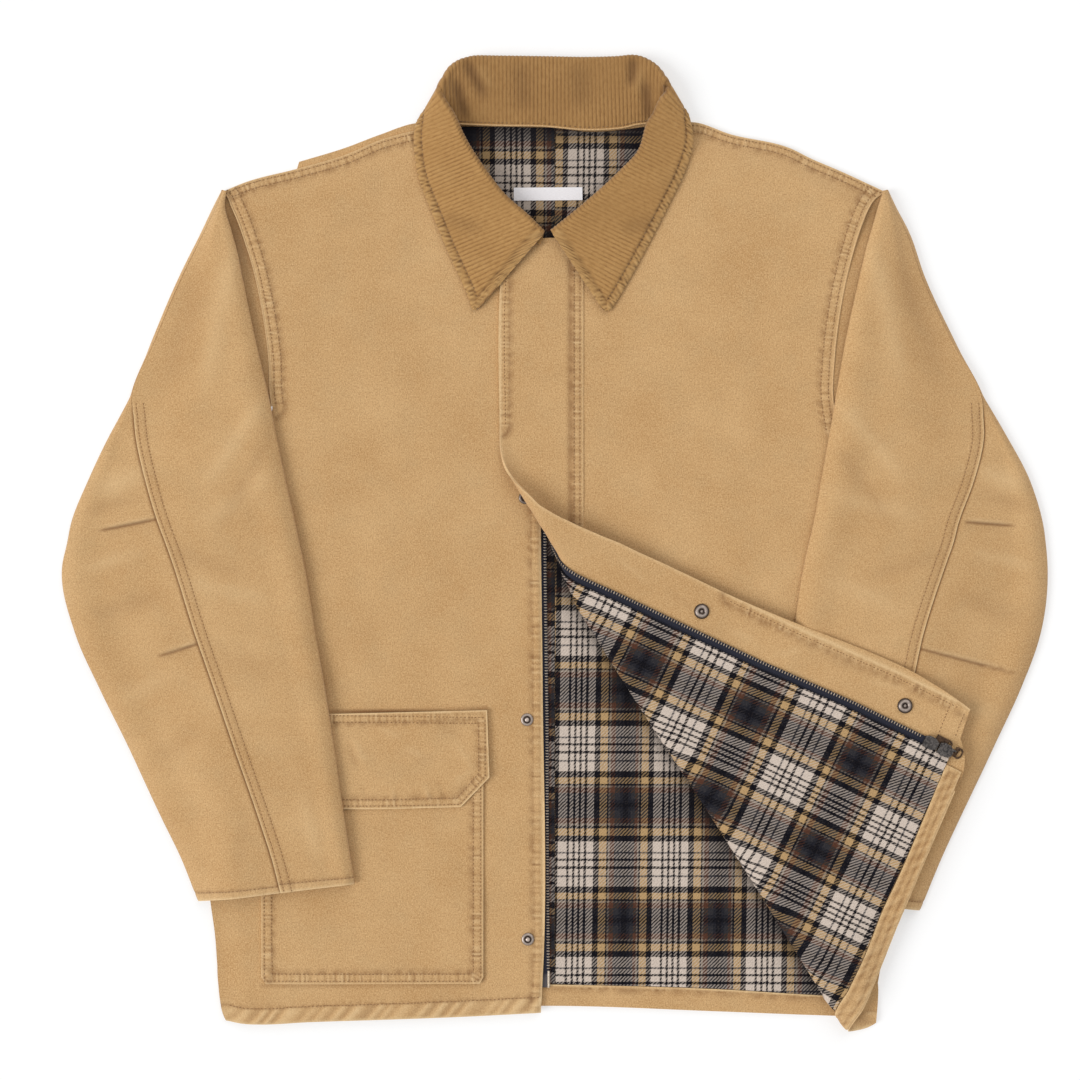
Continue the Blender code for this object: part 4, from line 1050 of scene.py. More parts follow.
def dress_front_right(r):
    r.seam(SHOULDER_R, -1, rows=(2.2, 7.4), pucker=0.25, pitch=5.6, seed=1.3)
    r.seam(ARMHOLE_R, 1, rows=(3.0, 9.6), pucker=0.2, pitch=4.6, seed=2.1, rim=0.4)
    r.seam(EDGE_R, -1, rows=(2.0, 8.2), pucker=0.22, pitch=6.4, seed=5.0, ridge=0.25, rim=0.35)
    # painted shadow lines just outside the flap's top edge and round the pocket's edges
    r.groove(((-254, -148.4), (-56.6, -143.9)), 0.9, 0.3, 0.95)
    r.groove(((-59.9, -200), (-59.9, -372)), 0.8, 0.2, 0.6)
    r.groove(((-59.9, -372), (-63, -378.9), (-250, -379.2)), 0.8, 0.2, 0.5)
    r.edge(EDGE_R, 1.2, 0.6)
    r.hem(HEM_R, HEM_ROW, 2.0)
    r.rumple(70.0, 0.35, 1.0)
    r.rumple(22.0, 0.08, 2.0)


def dress_front_left(r):
    r.seam(SHOULDER_L, -1, rows=(2.2, 7.4), pucker=0.25, pitch=5.6, seed=4.3)
    r.seam(ARMHOLE_L, -1, rows=(3.0, 9.6), pucker=0.2, pitch=4.6, seed=3.1, rim=0.4)
    r.hem(HEM_L, 13.0, 5.0)
    r.rumple(70.0, 0.3, 3.0)
    r.rumple(22.0, 0.08, 5.0)


def inset(line, distance):
    return beside(line_through(line, 3.0), distance)


def build_front(word, outline, place, thick, dress, seams, shoulder, armhole, hand, hem_rows,
                held, rests_on):
    """One front with its rows of stitching and the welt that its armhole seam makes."""
    obj = panel("front_%s_shell" % word, outline, place, -thick, 0.0, CLOTH, dress,
                near_lines(seams))
    rows = ([inset(shoulder, -row) for row in SHOULDER_ROWS]
            + [inset(armhole, row * hand) for row in ARMHOLE_ROWS] + hem_rows)
    sewn = [Sewing(obj).rows(place, *rows).finish("stitches_front_" + word)]
    welt = beside(armhole, -0.6 * hand)
    welt = place(welt[:, 0], welt[:, 1], np.full(len(welt), -0.1))
    sewn.append(tube("armhole_welt_" + word, welt, 0.75, 0.8, CLOTH))
    declare(obj, outline, held, rests_on, "front_" + word, slot="canvas", sewn=sewn)


def build_fronts():
    build_front("right", FRONT_RIGHT, on_right, FRONT_THICK, dress_front_right,
                (SHOULDER_R, ARMHOLE_R, EDGE_R, HEM_R), SHOULDER_R, ARMHOLE_R, 1,
                [inset(HEM_R, -HEM_ROW)], "laid", ["back_lining_right", "back"])
    build_front("left", FRONT_LEFT, on_left, CANVAS, dress_front_left,
                (SHOULDER_L, ARMHOLE_L, HEM_L, ((23.4, 256), (23.4, -120))), SHOULDER_L,
                ARMHOLE_L, -1, [], "folded", ["back_lining_left", "sleeve_left_top"])


def build_plain(node, outline, place, low, high, rests_on, dress=None, fine=even(3.0),
                material=CLOTH, slot="canvas", held="laid", under=False, coarse=6.0, lines=()):
    """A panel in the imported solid's place, with rows of stitching down some lines."""
    obj = panel(node + "_shell", outline, place, low, high, material, dress, fine, under, coarse)
    sewn = []
    if lines:
        sewn.append(Sewing(obj).rows(place, *lines).finish("stitches_" + node))
    declare(obj, outline, held, rests_on, node, slot=slot, sewn=sewn)


# soft creases on the flap and on the turned part of the placket (as it lies)
FLAP_CREASES = (((-176, -170), (-168, -196), 2.4, -0.5), ((-172, -168), (-160, -190), 2.2, 0.45),
                ((-128, -176), (-112, -184), 3.0, 0.4), ((-120, -190), (-100, -186), 2.6, -0.4),
                ((-98, -158), (-76, -166), 3.0, -0.5), ((-84, -172), (-70, -196), 2.4, 0.4),
                ((-100, -204), (-92, -222), 2.0, -0.5), ((-112, -206), (-106, -222), 2.0, 0.45),
                ((-140, -210), (-136, -222), 2.0, 0.4), ((-150, -160), (-130, -168), 3.0, 0.4),
                ((-86, -206), (-72, -196), 2.0, 0.45), ((-164, -206), (-160, -222), 2.2, -0.4))
FLAP_CREASE_GAIN = 1.35
TURNED_CREASES = (((191, -96), (212, -90), 3.0, 0.6), ((229, -99), (266, -113), 3.2, -0.6),
                  ((150, -72), (176, -86), 3.4, 0.5), ((96, -38), (122, -58), 3.4, -0.5),
                  ((60, -14), (84, -34), 3.0, 0.5), ((120, -70), (150, -78), 3.0, -0.4),
                  ((262, -118), (300, -128), 3.6, 0.6), ((300, -140), (322, -158), 3.2, -0.5),
                  ((200, -108), (226, -122), 3.0, 0.5), ((170, -92), (188, -106), 2.6, -0.4))


def as_cut(x, y):
    """The flat place of cloth that lies turned back at a place."""
    out, along = fold_place(x, y)
    return fold_point(-out, along)


def dress_pocket(r):
    side, foot, left = POCKET[1:4], ((-61, -375.5),) + POCKET[3:], (POCKET[-1], POCKET[0])
    for seed, line in enumerate((side, foot, left), 1):
        r.seam(line, -1, rows=(2.3, 8.5), pucker=0.26, pitch=5.4, seed=seed)
    r.rumple(45.0, 0.3, 4.0)


def dress_flap(r):
    for side in (-1, 1):
        r.seam(ring(FLAP), side, rows=(2.4, 7.4), pucker=0.3, pitch=5.4, seed=6.0)
    for start, end, width, height in FLAP_CREASES:
        r.crease(start, end, width, FLAP_CREASE_GAIN * height)
    r.rumple(26.0, 0.2, 2.0)


def dress_placket(r):
    edge = PLACKET[:6]
    r.seam(((24.2, 256), (24.2, -409)), -1, rows=(3.0, 8.0), pucker=0.3, pitch=6.2, seed=3.0,
           rim=0.4)
    # painted shade in a band down the placket, beside its seam
    r.groove(((12.8, 256), (12.8, -409)), 1.8, 0.35, 0.4)
    for part in (edge[:2] + ((-47, 96),), ((-46.6, -170),) + edge[4:]):
        r.seam(part, 1, rows=(2.0, 7.6), pucker=0.2, pitch=4.8, seed=1.0, ridge=0.3, rim=0.2)
    r.edge(edge, 1.2, 0.3, 0.5)
    for start, end, width, height in TURNED_CREASES:
        r.crease(as_cut(*start), as_cut(*end), width, height)
    r.rumple(24.0, 0.16, 1.0)


BACK_HEM_LINE = line_through(((275, -409), (251, -407), (210, -405.5), (134, -402.5),
                              (-12, -398)), SEAM_STEP)
BACK_HEM_TOP = ((-7, -379.4), (133.5, -383.2), (233, -389), (252, -389.8))


def dress_back(r):
    r.edge(BACK_HEM_LINE, 1.2, 0.5)


def dress_back_hem(r):
    for side in (1, -1):
        r.seam(BACK_HEM_TOP, side, rows=(2.0,), pucker=0.25, pitch=9.0, seed=1.0)


def dress_back_lining(r):
    """Shade at the neck, in the throat, under the fold and beside the zip."""
    neck = smooth(334.0, 352.0, r.y) * 0.55 + (r.y > 240) * 0.24
    throat = (1.0 - smooth(0.0, 26.0, r.y - 250 - 0.9 * np.abs(r.x + 6))) * (r.y > 230) * 0.7
    out, _ = fold_place(r.x, r.y)
    under_fold = np.exp(-np.maximum(out - 2.0, 0.0) / 7.0) * (r.y < 40) * 0.6
    zip_side = np.exp(-np.abs(r.x + 5.0) / 5.0) * (r.y < 40) * 0.2
    r.dark += np.maximum(neck, throat) + under_fold + zip_side + 0.13


def dress_right_tape(r):
    r.dark += r.y < -370.8


def near_ring(outline, coarse):
    return near_lines((line_through(outline, SEAM_STEP, closed=True),), 1.5, 9.0, coarse)


POCKET_ROWS = (((-63.3, -200), (-63.3, -372.5), (-66.5, -375.6), (-150, -375.6),
                (-247.4, -375.4), (-247.6, -340)),
               ((-69.6, -200), (-69.6, -366.5), (-72.6, -369.5), (-150, -369.6),
                (-240.6, -369.4), (-241.4, -340)),
               ((-247.6, -340), (-247.6, -200)), ((-241.4, -340), (-241.4, -200)))
FLAP_ROWS = (((-252, -148.4), (-60, -151)), ((-252, -154), (-65, -156)),
             ((-59.6, -152), (-59.6, -201), (-81, -224.8), (-155, -226.2), (-228, -225.4)),
             ((-65, -157), (-65, -198.6), (-83.6, -219.4), (-155, -220.8), (-226, -220)))


def build_body_cloth():
    build_plain("back", BACK, on_table, 0.0, BACK_TOP, ["floor"], dress_back,
                near_lines((BACK_HEM_LINE, SHOULDER_R), 1.5, 9.0, 6.0))
    for word, outline, material in (("right", LINING_RIGHT, PLAID_RIGHT),
                                    ("left", LINING_LEFT, PLAID_LEFT)):
        build_plain("back_lining_" + word, outline, on_table, LINING_LOW, LINING_TOP, ["back"],
                    dress_back_lining, material=material, slot="plaid")
    build_plain("back_hem_facing", BACK_HEM, on_table, LINING_LOW, LINING_TOP - 0.1, ["back"],
                dress_back_hem, near_lines((BACK_HEM_LINE,), 1.5, 30.0, 4.0))
    build_plain("neck_label", LABEL, on_table, *LABEL_FACES,
                ["back_lining_right", "back_lining_left"], fine=even(1.5), material=satin(),
                slot="label")
    build_plain("zip_tape_right", TAPE_RIGHT, on_table, *TAPE_FACES, ["back_lining_right"],
                dress_right_tape, even(6.0), TAPE_CLOTH, "tape")
    build_plain("pocket_right", POCKET, on_right, *POCKET_FACES, ["front_right"], dress_pocket,
                near_ring(POCKET, 4.0), lines=POCKET_ROWS)
    build_plain("pocket_flap_right", FLAP, on_right, *FLAP_FACES, ["pocket_right"],
                dress_flap, near_ring(FLAP, 3.0), lines=FLAP_ROWS)


OVER_TAPE = ((-0.4, -392.2), (-0.4, 238)) + LEFT_LINING[1:-1]


def dress_left_lining(r):
    """Raised where it runs over the zip tape."""
    r.lift += 1.3 * (1.0 - smooth(6.0, 9.0, r.x))
    r.dark += 0.1


def dress_left_facing(r):
    far, arc, _ = measure(r.x, r.y, ring(LEFT_HEM))
    roll = waver(arc + 1.1 * far, 11.0, 2.0)
    r.lift += 0.3 * roll - 0.35 * hump(far, 4.5, 1.1) - 0.4 * hump(far, 0.0, 1.0)
    # painted shade along the stitch line and in the roll troughs
    r.dark += 0.55 * hump(far, 4.5, 1.0) + 0.25 * np.maximum(-roll, 0)
    # worn pale edge, and painted highlight on the roll crests
    r.wear_and_highlight += 0.5 * np.exp(-(far / 1.3) ** 2) + 0.3 * np.maximum(roll, 0)


def flat_part(x, y):
    return np.where(fold_place(x, y)[0] < 40, 2.0, 6.0)


def turned_part(x, y):
    return np.where(fold_place(x, y)[0] > -60, 3.0, 6.0)


PLACKET_ROWS = (((16.2, 252), (16.2, -405)), ((21.2, 252), (21.2, -405)),
                ((-39.5, 249), (-42.3, 212), (-42.3, 96)), ((-41.9, -170), (-41.3, -380)),
                ((-40, -388), (-17, -389.6)), ((-40, -374), (-12, -376)))


def build_left_cloth():
    build_plain("placket", PLACKET, on_left, *PLACKET_FACES, ["front_right", "front_left"],
                dress_placket, flat_part, held="folded", coarse=2.2, lines=PLACKET_ROWS)
    build_plain("front_left_lining", OVER_TAPE, on_left, *LEFT_LINING_FACES, ["front_left"],
                dress_left_lining, turned_part, PLAID_FRONT, "plaid", "folded", under=True)
    build_plain("front_left_hem_facing", LEFT_HEM, on_left, *LEFT_HEM_FACES, ["front_left"],
                dress_left_facing, even(1.4), held="folded", under=True)
    build_plain("zip_tape_left", TAPE_LEFT, on_left, *LEFT_TAPE_FACES, ["placket"], None,
                turned_part, TAPE_CLOTH, "tape", "folded", under=True)


# ------------------------------------------------------------------ sleeves
def sleeve_rows(side, table):
    """Middle lines of the outer and inner panel of one sleeve, station by station."""
    outer_rows, inner_rows = [], []
    edge = BODY_EDGE[side]
    for (ox, oy, ix, iy, seam, top, low_z, end), state in zip(table, SLEEVE_STATES):
        over = state == "over"
        tucked = state == "tucked"

        def point(d, z):
            t = (ox - d) / (ox - ix)
            return (side * d, mix(oy, iy, t), z)

        def upper(d):
            crest = max(ix + 12.0, 280.0)
            start = min(SLEEVE_LOW, top - 2) if tucked else SLEEVE_LOW
            return float(mix(start, top, smooth(0, 1, (ox - d) / max(6.0, ox - crest))))

        def under(d):
            climb = smooth(0, 1, (edge - d) / CLIMB) if over else 0.0
            return float(mix(SLEEVE_REST, low_z, climb))

        width = ox - ix
        turn = min(4.0, width * 0.25)
        top_out = ox - turn
        seam_out = min(seam + 0.2, ox - 0.2)
        folded = seam_out > top_out - 1.0
        low, high = under(top_out), upper(seam_out if folded else top_out)
        if folded:
            outer = [point(mix(seam_out, ox, t), mix(high, low, 0.45 * t))
                     for t in (0.0, 0.3, 0.6, 0.8)]
        else:
            crest = max(mix(seam_out, top_out, 0.3), min(282.0, mix(seam_out, top_out, 0.75)))
            outer = [point(d, upper(d)) for d in (seam_out, crest, mix(crest, top_out, 0.5),
                                                  top_out)]
        outer += [point(ox, mix(low, high, 0.45)), point(top_out, low)]
        if over:
            start = min(edge + 1.0, top_out - 3.0)
            stops = [mix(top_out, start, 0.5), start, min(edge - CLIMB, start - 6.0), end + 0.4]
        else:
            back_edge = ARMHOLE_UNDER[side].get(oy, end + 0.1)
            stops = [mix(top_out, back_edge, t) for t in (0.35, 0.6, 0.85, 1.0)]
        outer_rows.append(outer + [point(d, under(d)) for d in stops])

        seam_in = seam - (0.0 if folded else 0.2)
        crown = ix + turn
        inner = [point(mix(seam_in, crown, t), upper(mix(seam_in, crown, t)))
                 for t in (0.0, 0.2, 0.45, 0.72, 1.0)]
        z = low_z
        inner += [point(ix, mix(z, top, 0.5)), point(crown, z)]
        if tucked:
            back = ix + min(18.0, width * 0.55)
            inner += [point(mix(crown, back, 0.5), z), point(back, z),
                      point(back + 1.6, z - TUCK / 2), point(back, z - TUCK),
                      point(mix(back, end, 0.5), z - TUCK), point(end, z - TUCK)]
        elif state == "opening":
            inner += [point(ix + d, z - drop) for d, drop in
                      ((11, 0), (18.5, 0), (20.8, 1.4), (21.0, 3.0), (17.5, 4.2), (12, 4.5))]
        elif state == "turning":
            inner += [point(ix + d, z - drop) for d, drop in
                      ((12, 0), (20, 0), (23, 0.8), (25, 2.0), (26.4, 3.2), (27.6, 4.4))]
        else:
            inner += [point(mix(crown, end, t), z) for t in (0.2, 0.4, 0.5, 0.6, 0.8, 1.0)]
        inner_rows.append(inner)
    return np.array(outer_rows), np.array(inner_rows)


SEAM_STEPS = (0.0, 0.7, 1.5, 2.4, 3.3, 4.3, 5.4, 6.6, 7.8, 8.9, 9.8, 10.7, 12.0, 14.0)
NEAR_ROW, FAR_ROW = 4, 10                # the steps that carry the two rows of stitching
COLUMN_GAP = 2.7
# the points of a row where the cloth starts to turn, turns, and has turned
FOLDS = {"under": (3, 4, 5), "top": (4, 5, 6)}


def fine_loft(rows, stations, folds):
    """Station rows made smooth along the sleeve and, from the seam, across it."""
    knots = runs_along(rows.mean(axis=1))
    places = stations(knots[-1], lambda at: hermite(rows[:, 0], knots, at)[:, 1])
    count = rows.shape[1]
    dense = np.stack([hermite(rows[:, j], knots, places) for j in range(count)], 1)
    runs = np.cumsum(np.linalg.norm(np.diff(dense, axis=1), axis=2), axis=1)
    runs = np.concatenate([np.zeros((len(runs), 1)), runs], 1)
    before = int(max(8, (runs[:, folds[0]].mean() - SEAM_STEPS[-1]) / COLUMN_GAP))
    after = int((runs[:, -1] - runs[:, folds[2]]).mean() / COLUMN_GAP / 1.3)
    made, far = [], []
    for row, run in zip(dense, runs):
        start, turn, end = (run[k] for k in folds)
        spots = [np.array(SEAM_STEPS) * min(1.0, start * 0.8 / SEAM_STEPS[-1])]
        for stop, steps in ((start, before), (turn, 4), (end, 4), (run[-1], after)):
            spots.append(np.linspace(spots[-1][-1], stop, steps + 1)[1:])
        spots = np.concatenate(spots)
        line = hermite(row, run, spots)
        line[:, 2] = np.maximum(line[:, 2], SLEEVE_REST)
        made.append(line)
        far.append(spots)
    return np.array(made), np.array(far), places, runs[:, folds[1]]


DART_HEIGHTS = (13.0, -95.0)             # where the elbow darts lie, as places up the jacket


def sleeve_stations(total, height_at):
    """Fine at the cuff and at the darts, 3 mm elsewhere."""
    places = np.concatenate([np.linspace(0, total - 16, int((total - 16) / 3.0)),
                             np.linspace(total - 16, total, 13)[1:]])
    heights = height_at(places)
    steps = list(places)
    for a, b, height in zip(places, places[1:], heights):
        if min(abs(height - dart) for dart in DART_HEIGHTS) < 11.0:
            steps += [mix(a, b, 1 / 3), mix(a, b, 2 / 3)]
    return np.sort(steps)


def build_sleeves():
    for word, side, table in (("right", -1, RIGHT_SLEEVE), ("left", 1, LEFT_SLEEVE)):
        outer, inner = sleeve_rows(side, table)
        for part, rows in (("under", outer), ("top", inner)):
            points, far, places, turn = fine_loft(rows, sleeve_stations, FOLDS[part])
            name = "sleeve_%s_%s" % (word, part)
            total = places[-1]
            r = Relief(np.repeat(places[:, None], points.shape[1], 1), far)
            dress_sleeve(r, part, side, total, points, turn)
            normal = normals(points)
            if normal[:, 0, 2].sum() < 0:
                normal = -normal
            shown_face = points + normal * (SLEEVE_WALL / 2 + r.lift)[..., None]
            hidden_face = points - normal * (SLEEVE_WALL / 2
                                             - 0.6 * np.clip(r.lift, -1, 1))[..., None]
            pattern = np.stack([far if part == "under" else -far, -r.x], -1)
            obj = close_grids(name + "_shell", shown_face, hidden_face, CLOTH, pattern,
                              {"wear_and_highlight": r.wear_and_highlight, "dark": r.dark})
            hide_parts(name)
            sewing = Sewing(obj)
            shown = points[:, 0, 1] < 120.0
            cuff = np.searchsorted(places, total - CUFF_ROW)
            face = far[cuff] < turn[cuff]
            sewing.row(points[cuff][face], near=4.0)
            if part == "top":
                for row in (NEAR_ROW, FAR_ROW):
                    sewing.row(points[shown, row], near=4.0)
            sewn = [sewing.finish("stitches_" + name)]


CUFF_ROW = 7.0
# elbow darts and soft creases: side, start, end, width, height (mm; a trough is below nothing)
DARTS = ((-1, (-338, 17.7), (-386, 8.2)), (-1, (-302.5, -88), (-334, -98)),
         (1, (350, 15.2), (389, 12.2)), (1, (311, -92.6), (388, -112.5)))
SLEEVE_CREASES = (
    (-1, (-268, 262), (-300, 120), 9.0, 0.8), (-1, (-300, 232), (-330, 130), 12.0, -0.7),
    (-1, (-246, 120), (-300, 40), 7.0, 0.9), (-1, (-238, 96), (-282, 10), 6.0, -0.8),
    (-1, (-232, 60), (-300, 12), 8.0, 0.6), (-1, (-330, -6), (-262, -30), 7.0, -0.6),
    (-1, (-318, -34), (-240, -52), 8.0, 0.6), (-1, (-296, -96), (-230, -112), 9.0, -0.5),
    (-1, (-345, 60), (-392, 40), 9.0, 0.9), (-1, (-350, 38), (-400, 22), 6.0, -0.7),
    (-1, (-345, -8), (-404, -26), 6.0, 0.8), (-1, (-330, -46), (-396, -66), 8.0, -0.7),
    (-1, (-322, -112), (-372, -140), 9.0, 0.7), (-1, (-300, -160), (-344, -190), 8.0, -0.6),
    (-1, (-216, -210), (-200, -270), 7.0, 0.6), (-1, (-262, -240), (-270, -284), 6.0, -0.5),
    (1, (266, 262), (296, 130), 9.0, 0.8), (1, (296, 236), (334, 140), 12.0, -0.7),
    (1, (240, 118), (300, 46), 7.0, 0.9), (1, (236, 84), (290, 10), 6.0, -0.8),
    (1, (230, 40), (310, 20), 8.0, 0.6), (1, (336, -10), (262, -34), 7.0, -0.6),
    (1, (226, -30), (300, -64), 8.0, 0.6), (1, (356, 62), (402, 44), 8.0, 0.9),
    (1, (362, 40), (408, 26), 6.0, -0.7), (1, (350, -8), (410, -24), 6.0, 0.8),
    (1, (340, -46), (404, -70), 8.0, -0.7), (1, (322, -128), (380, -150), 9.0, 0.7),
    (1, (300, -176), (350, -206), 8.0, -0.6))


def dress_sleeve(r, part, side, total, points, turn):
    """Elbow seam down the near edge, a turned cuff at the end, darts and creases between; painted
    shade in the seam, cuff and dart grooves, in the tuck's hollow and in crease troughs, and
    painted highlight on crease ridges.
    """
    d, a = r.y, r.x
    seam_y = points[:, :1, 1]
    shown = 1.0 - smooth(100.0, 128.0, seam_y)
    if part == "top":
        wave = 0.6 * waver(a, 6.4, 2.0 + side) + 0.5 * waver(a, 3.9, 5.0 + side)
        band = (1.0 - smooth(9.5, 12.5, d)) * shown
        r.lift += 0.4 * band + 0.16 * wave * smooth(0, 2, d) * (1 - smooth(9, 13, d)) * shown
        # a little darker over the seam band past its rim, then painted shade in its stitch
        # grooves
        r.dark += 0.12 * band * smooth(1.3, 2.6, d)
        for row in (SEAM_STEPS[NEAR_ROW], SEAM_STEPS[FAR_ROW]):
            r.lift -= 0.3 * hump(d, row, 0.9) * shown
            r.dark += 0.2 * hump(d, row, 0.9) * shown
        r.wear_and_highlight += 0.65 * np.exp(-(d / 1.2) ** 2) * shown
        # painted shade in the hollow of the tuck under the fold of the upper cloth, darkest near
        # the right armhole
        past = d - turn[:, None]
        painted_tuck_shade = 0.2 + 0.7 * hump(past, 5.0, 6.5) + 0.5 * hump(seam_y, 254.0, 26.0) * (side < 0)
        r.dark += smooth(0.0, 5.0, past) * (seam_y > 60.0) * painted_tuck_shade
    else:
        # painted shade beside the seam edge of the under panel
        r.dark += 0.85 * hump(d, 0.0, 1.5) * shown
        r.lift -= 0.4 * hump(d, 0.0, 1.2) * shown
    from_cuff = total - a
    wave = 0.6 * waver(d, 9.0, 1.0 + side) + 0.4 * waver(d, 4.6, 3.0)
    held = smooth(0, 1.5, from_cuff) * (1.0 - smooth(CUFF_ROW, CUFF_ROW + 7.0, from_cuff))
    r.lift += 0.24 * wave * held - 0.4 * hump(from_cuff, CUFF_ROW, 1.1)
    r.lift -= 0.4 * hump(from_cuff, 0.0, 1.0)
    # painted shade along the cuff's stitch line and in its pucker troughs
    r.dark += 0.5 * hump(from_cuff, CUFF_ROW, 1.1) + 0.3 * np.maximum(-wave, 0) * held
    r.wear_and_highlight += 0.8 * np.exp(-(from_cuff / 1.4) ** 2) + 0.15 * (from_cuff < CUFF_ROW)
    world = Relief(points[..., 0], points[..., 1])
    for hand, start, end in DARTS:
        if hand == side and part == "under":
            above, below = (tuple((x, y + off) for x, y in (start, end)) for off in (1.9, -1.3))
            world.crease(above[0], above[1], 2.3, 1.1)
            world.crease(start, end, 1.1, -1.2)
            # painted shade down the dart's trough
            world.dark += 0.75 * hump(measure(world.x, world.y, (start, end))[0], 0.0, 1.3)
            world.crease(below[0], below[1], 5.0, -0.6)
    world.creases(crease[1:] for crease in SLEEVE_CREASES if crease[0] == side)
    x, y = world.x, world.y
    world.lift += 0.3 * np.sin(side * x / 31.0 + y / 47.0) * np.sin(y / 39.0 - side * x / 63.0)
    r.lift += world.lift
    if part == "under":                      # the side that lies on the floor stays flat
        r.lift *= 1.0 - smooth(1.0, 6.0, d - turn[:, None])
    r.dark += world.dark
    r.wear_and_highlight += world.wear_and_highlight


# ------------------------------------------------------------------ collar
def curves_of(word, at):
    """The neck, roll or edge read at places counted in stations."""
    return hermite(COLLAR[:, ("neck", "roll", "edge").index(word)],
                   np.arange(len(COLLAR), dtype=float), at)


def collar_columns(edge_at):
    """For places along the leaf edge: points from that edge over the roll to the neck."""
    stations = np.arange(len(WALE_EDGE), dtype=float)
    last = len(COLLAR) - 1.0
    roll_at = np.interp(edge_at, WALE_EDGE, stations)
    edge, roll, neck = (curves_of("edge", edge_at), curves_of("roll", roll_at),
                        curves_of("neck", roll_at))
    ahead = curves_of("roll", np.clip(roll_at + 0.05, 0, last))
    behind = curves_of("roll", np.clip(roll_at - 0.05, 0, last))
    crown = roll - neck
    crown /= np.linalg.norm(crown, axis=1, keepdims=True)
    out = np.cross(crown, ahead - behind)
    out /= np.linalg.norm(out, axis=1, keepdims=True)
    centre = roll - crown * ROLL_RADIUS
    right_cut = np.clip(edge_at / WALE_EDGE[0], 0, 1)
    left_cut = np.clip((last - edge_at) / (last - WALE_EDGE[-1]), 0, 1)
    top = centre + out * ROLL_RADIUS
    for cut, tip in ((right_cut, curves_of("edge", np.array([0.0]))),
                     (left_cut, curves_of("edge", np.array([last])))):
        top = mix(tip, top, cut[:, None])
    whole = np.minimum(right_cut, left_cut) > 0.999
    return edge, top, centre, crown, out, neck, whole


LEAF_STEPS = (0.0, 0.7, 1.6, 2.8, 4.2, 5.6, 6.6, 7.4, 8.4, 10.0, 12.5)
WALE_SAMPLES = (0.0, 0.1, 0.26, 0.5, 0.74, 0.9)


# valleys where the collar turns its back corners, and soft folds: start, end, width, height
COLLAR_CREASES = (
    ((-77, 410), (-58, 376), 5.0, -1.9), ((-84, 392), (-76, 358), 5.0, -2.2),
    ((-66, 404), (-52, 384), 4.0, 0.8), ((67, 412), (65, 386), 4.5, -1.9),
    ((77, 392), (81, 356), 5.0, -2.2), ((96, 389), (91, 377), 3.0, -1.2),
    ((74, 404), (70, 380), 3.5, 0.7), ((-108, 320), (-84, 300), 7.0, 0.5),
    ((-96, 276), (-60, 262), 7.0, -0.5), ((-84, 240), (-52, 232), 6.0, 0.4),
    ((106, 316), (80, 300), 7.0, 0.5), ((90, 272), (56, 262), 7.0, -0.5),
    ((70, 232), (40, 226), 6.0, 0.4), ((-30, 408), (-26, 366), 9.0, -0.5),
    ((20, 408), (24, 366), 10.0, -0.5))
TIP_ROUND, TIP_REACH = 5.0, 16.0
ROLL_RUN = 7.85                          # round the roll, from the leaf to the stand
LEAF_ROWS, ROLL_ROWS, STAND_ROWS = 20, 6, 13
LEAF_STITCH = 7.0                        # from the rim to the row of stitching


def blunt(points, tip, along_edge, along_front):
    """Cloth near a collar's point moved inside a rounded corner."""
    ways = [np.array(p, float) - tip for p in (along_edge, along_front)]
    ways = [way / np.linalg.norm(way) for way in ways]
    half = math.acos(np.clip(ways[0] @ ways[1], -1, 1)) / 2.0
    inward = (ways[0] + ways[1]) / np.linalg.norm(ways[0] + ways[1])
    centre = tip + inward * TIP_ROUND / math.sin(half)
    off = points[..., :2] - centre
    far = np.linalg.norm(off, axis=-1)
    facing = -(off @ inward) / np.maximum(far, 1e-9) > math.sin(half)
    shrink = np.where(facing & (far > TIP_ROUND), TIP_ROUND / np.maximum(far, 1e-9), 1.0)
    return centre + off * shrink[..., None]


def spread(a, b):
    """How far apart neighbouring columns from a to b lie, square to them."""
    run = unit(b - a)
    step = np.diff((a + b) / 2, axis=0)
    step -= run[:-1] * (step * run[:-1]).sum(1, keepdims=True)
    return np.linalg.norm(step, axis=1)


def collar_spots():
    """Where the columns lie along the wales' run and in stations, and the wales' pitch."""
    dense = np.linspace(0.08, len(COLLAR) - 1.08, 2400)
    edge, top, centre, _, out, neck, _ = collar_columns(dense)
    at_back = smooth(7, 8.5, dense) * (1 - smooth(14.5, 16, dense))
    gaps = mix(spread(edge, top), spread(neck, centre - out * ROLL_RADIUS),
               at_back[:-1] ** 2)
    run = np.concatenate([[0.0], np.cumsum(gaps)])
    wales = int(run[-1] / WALE_PITCH)
    pitch = run[-1] / wales
    spots = np.concatenate([(k + np.array(WALE_SAMPLES)) * pitch for k in range(wales)]
                           + [run[-1:]])
    return spots, np.interp(spots, run, dense), pitch


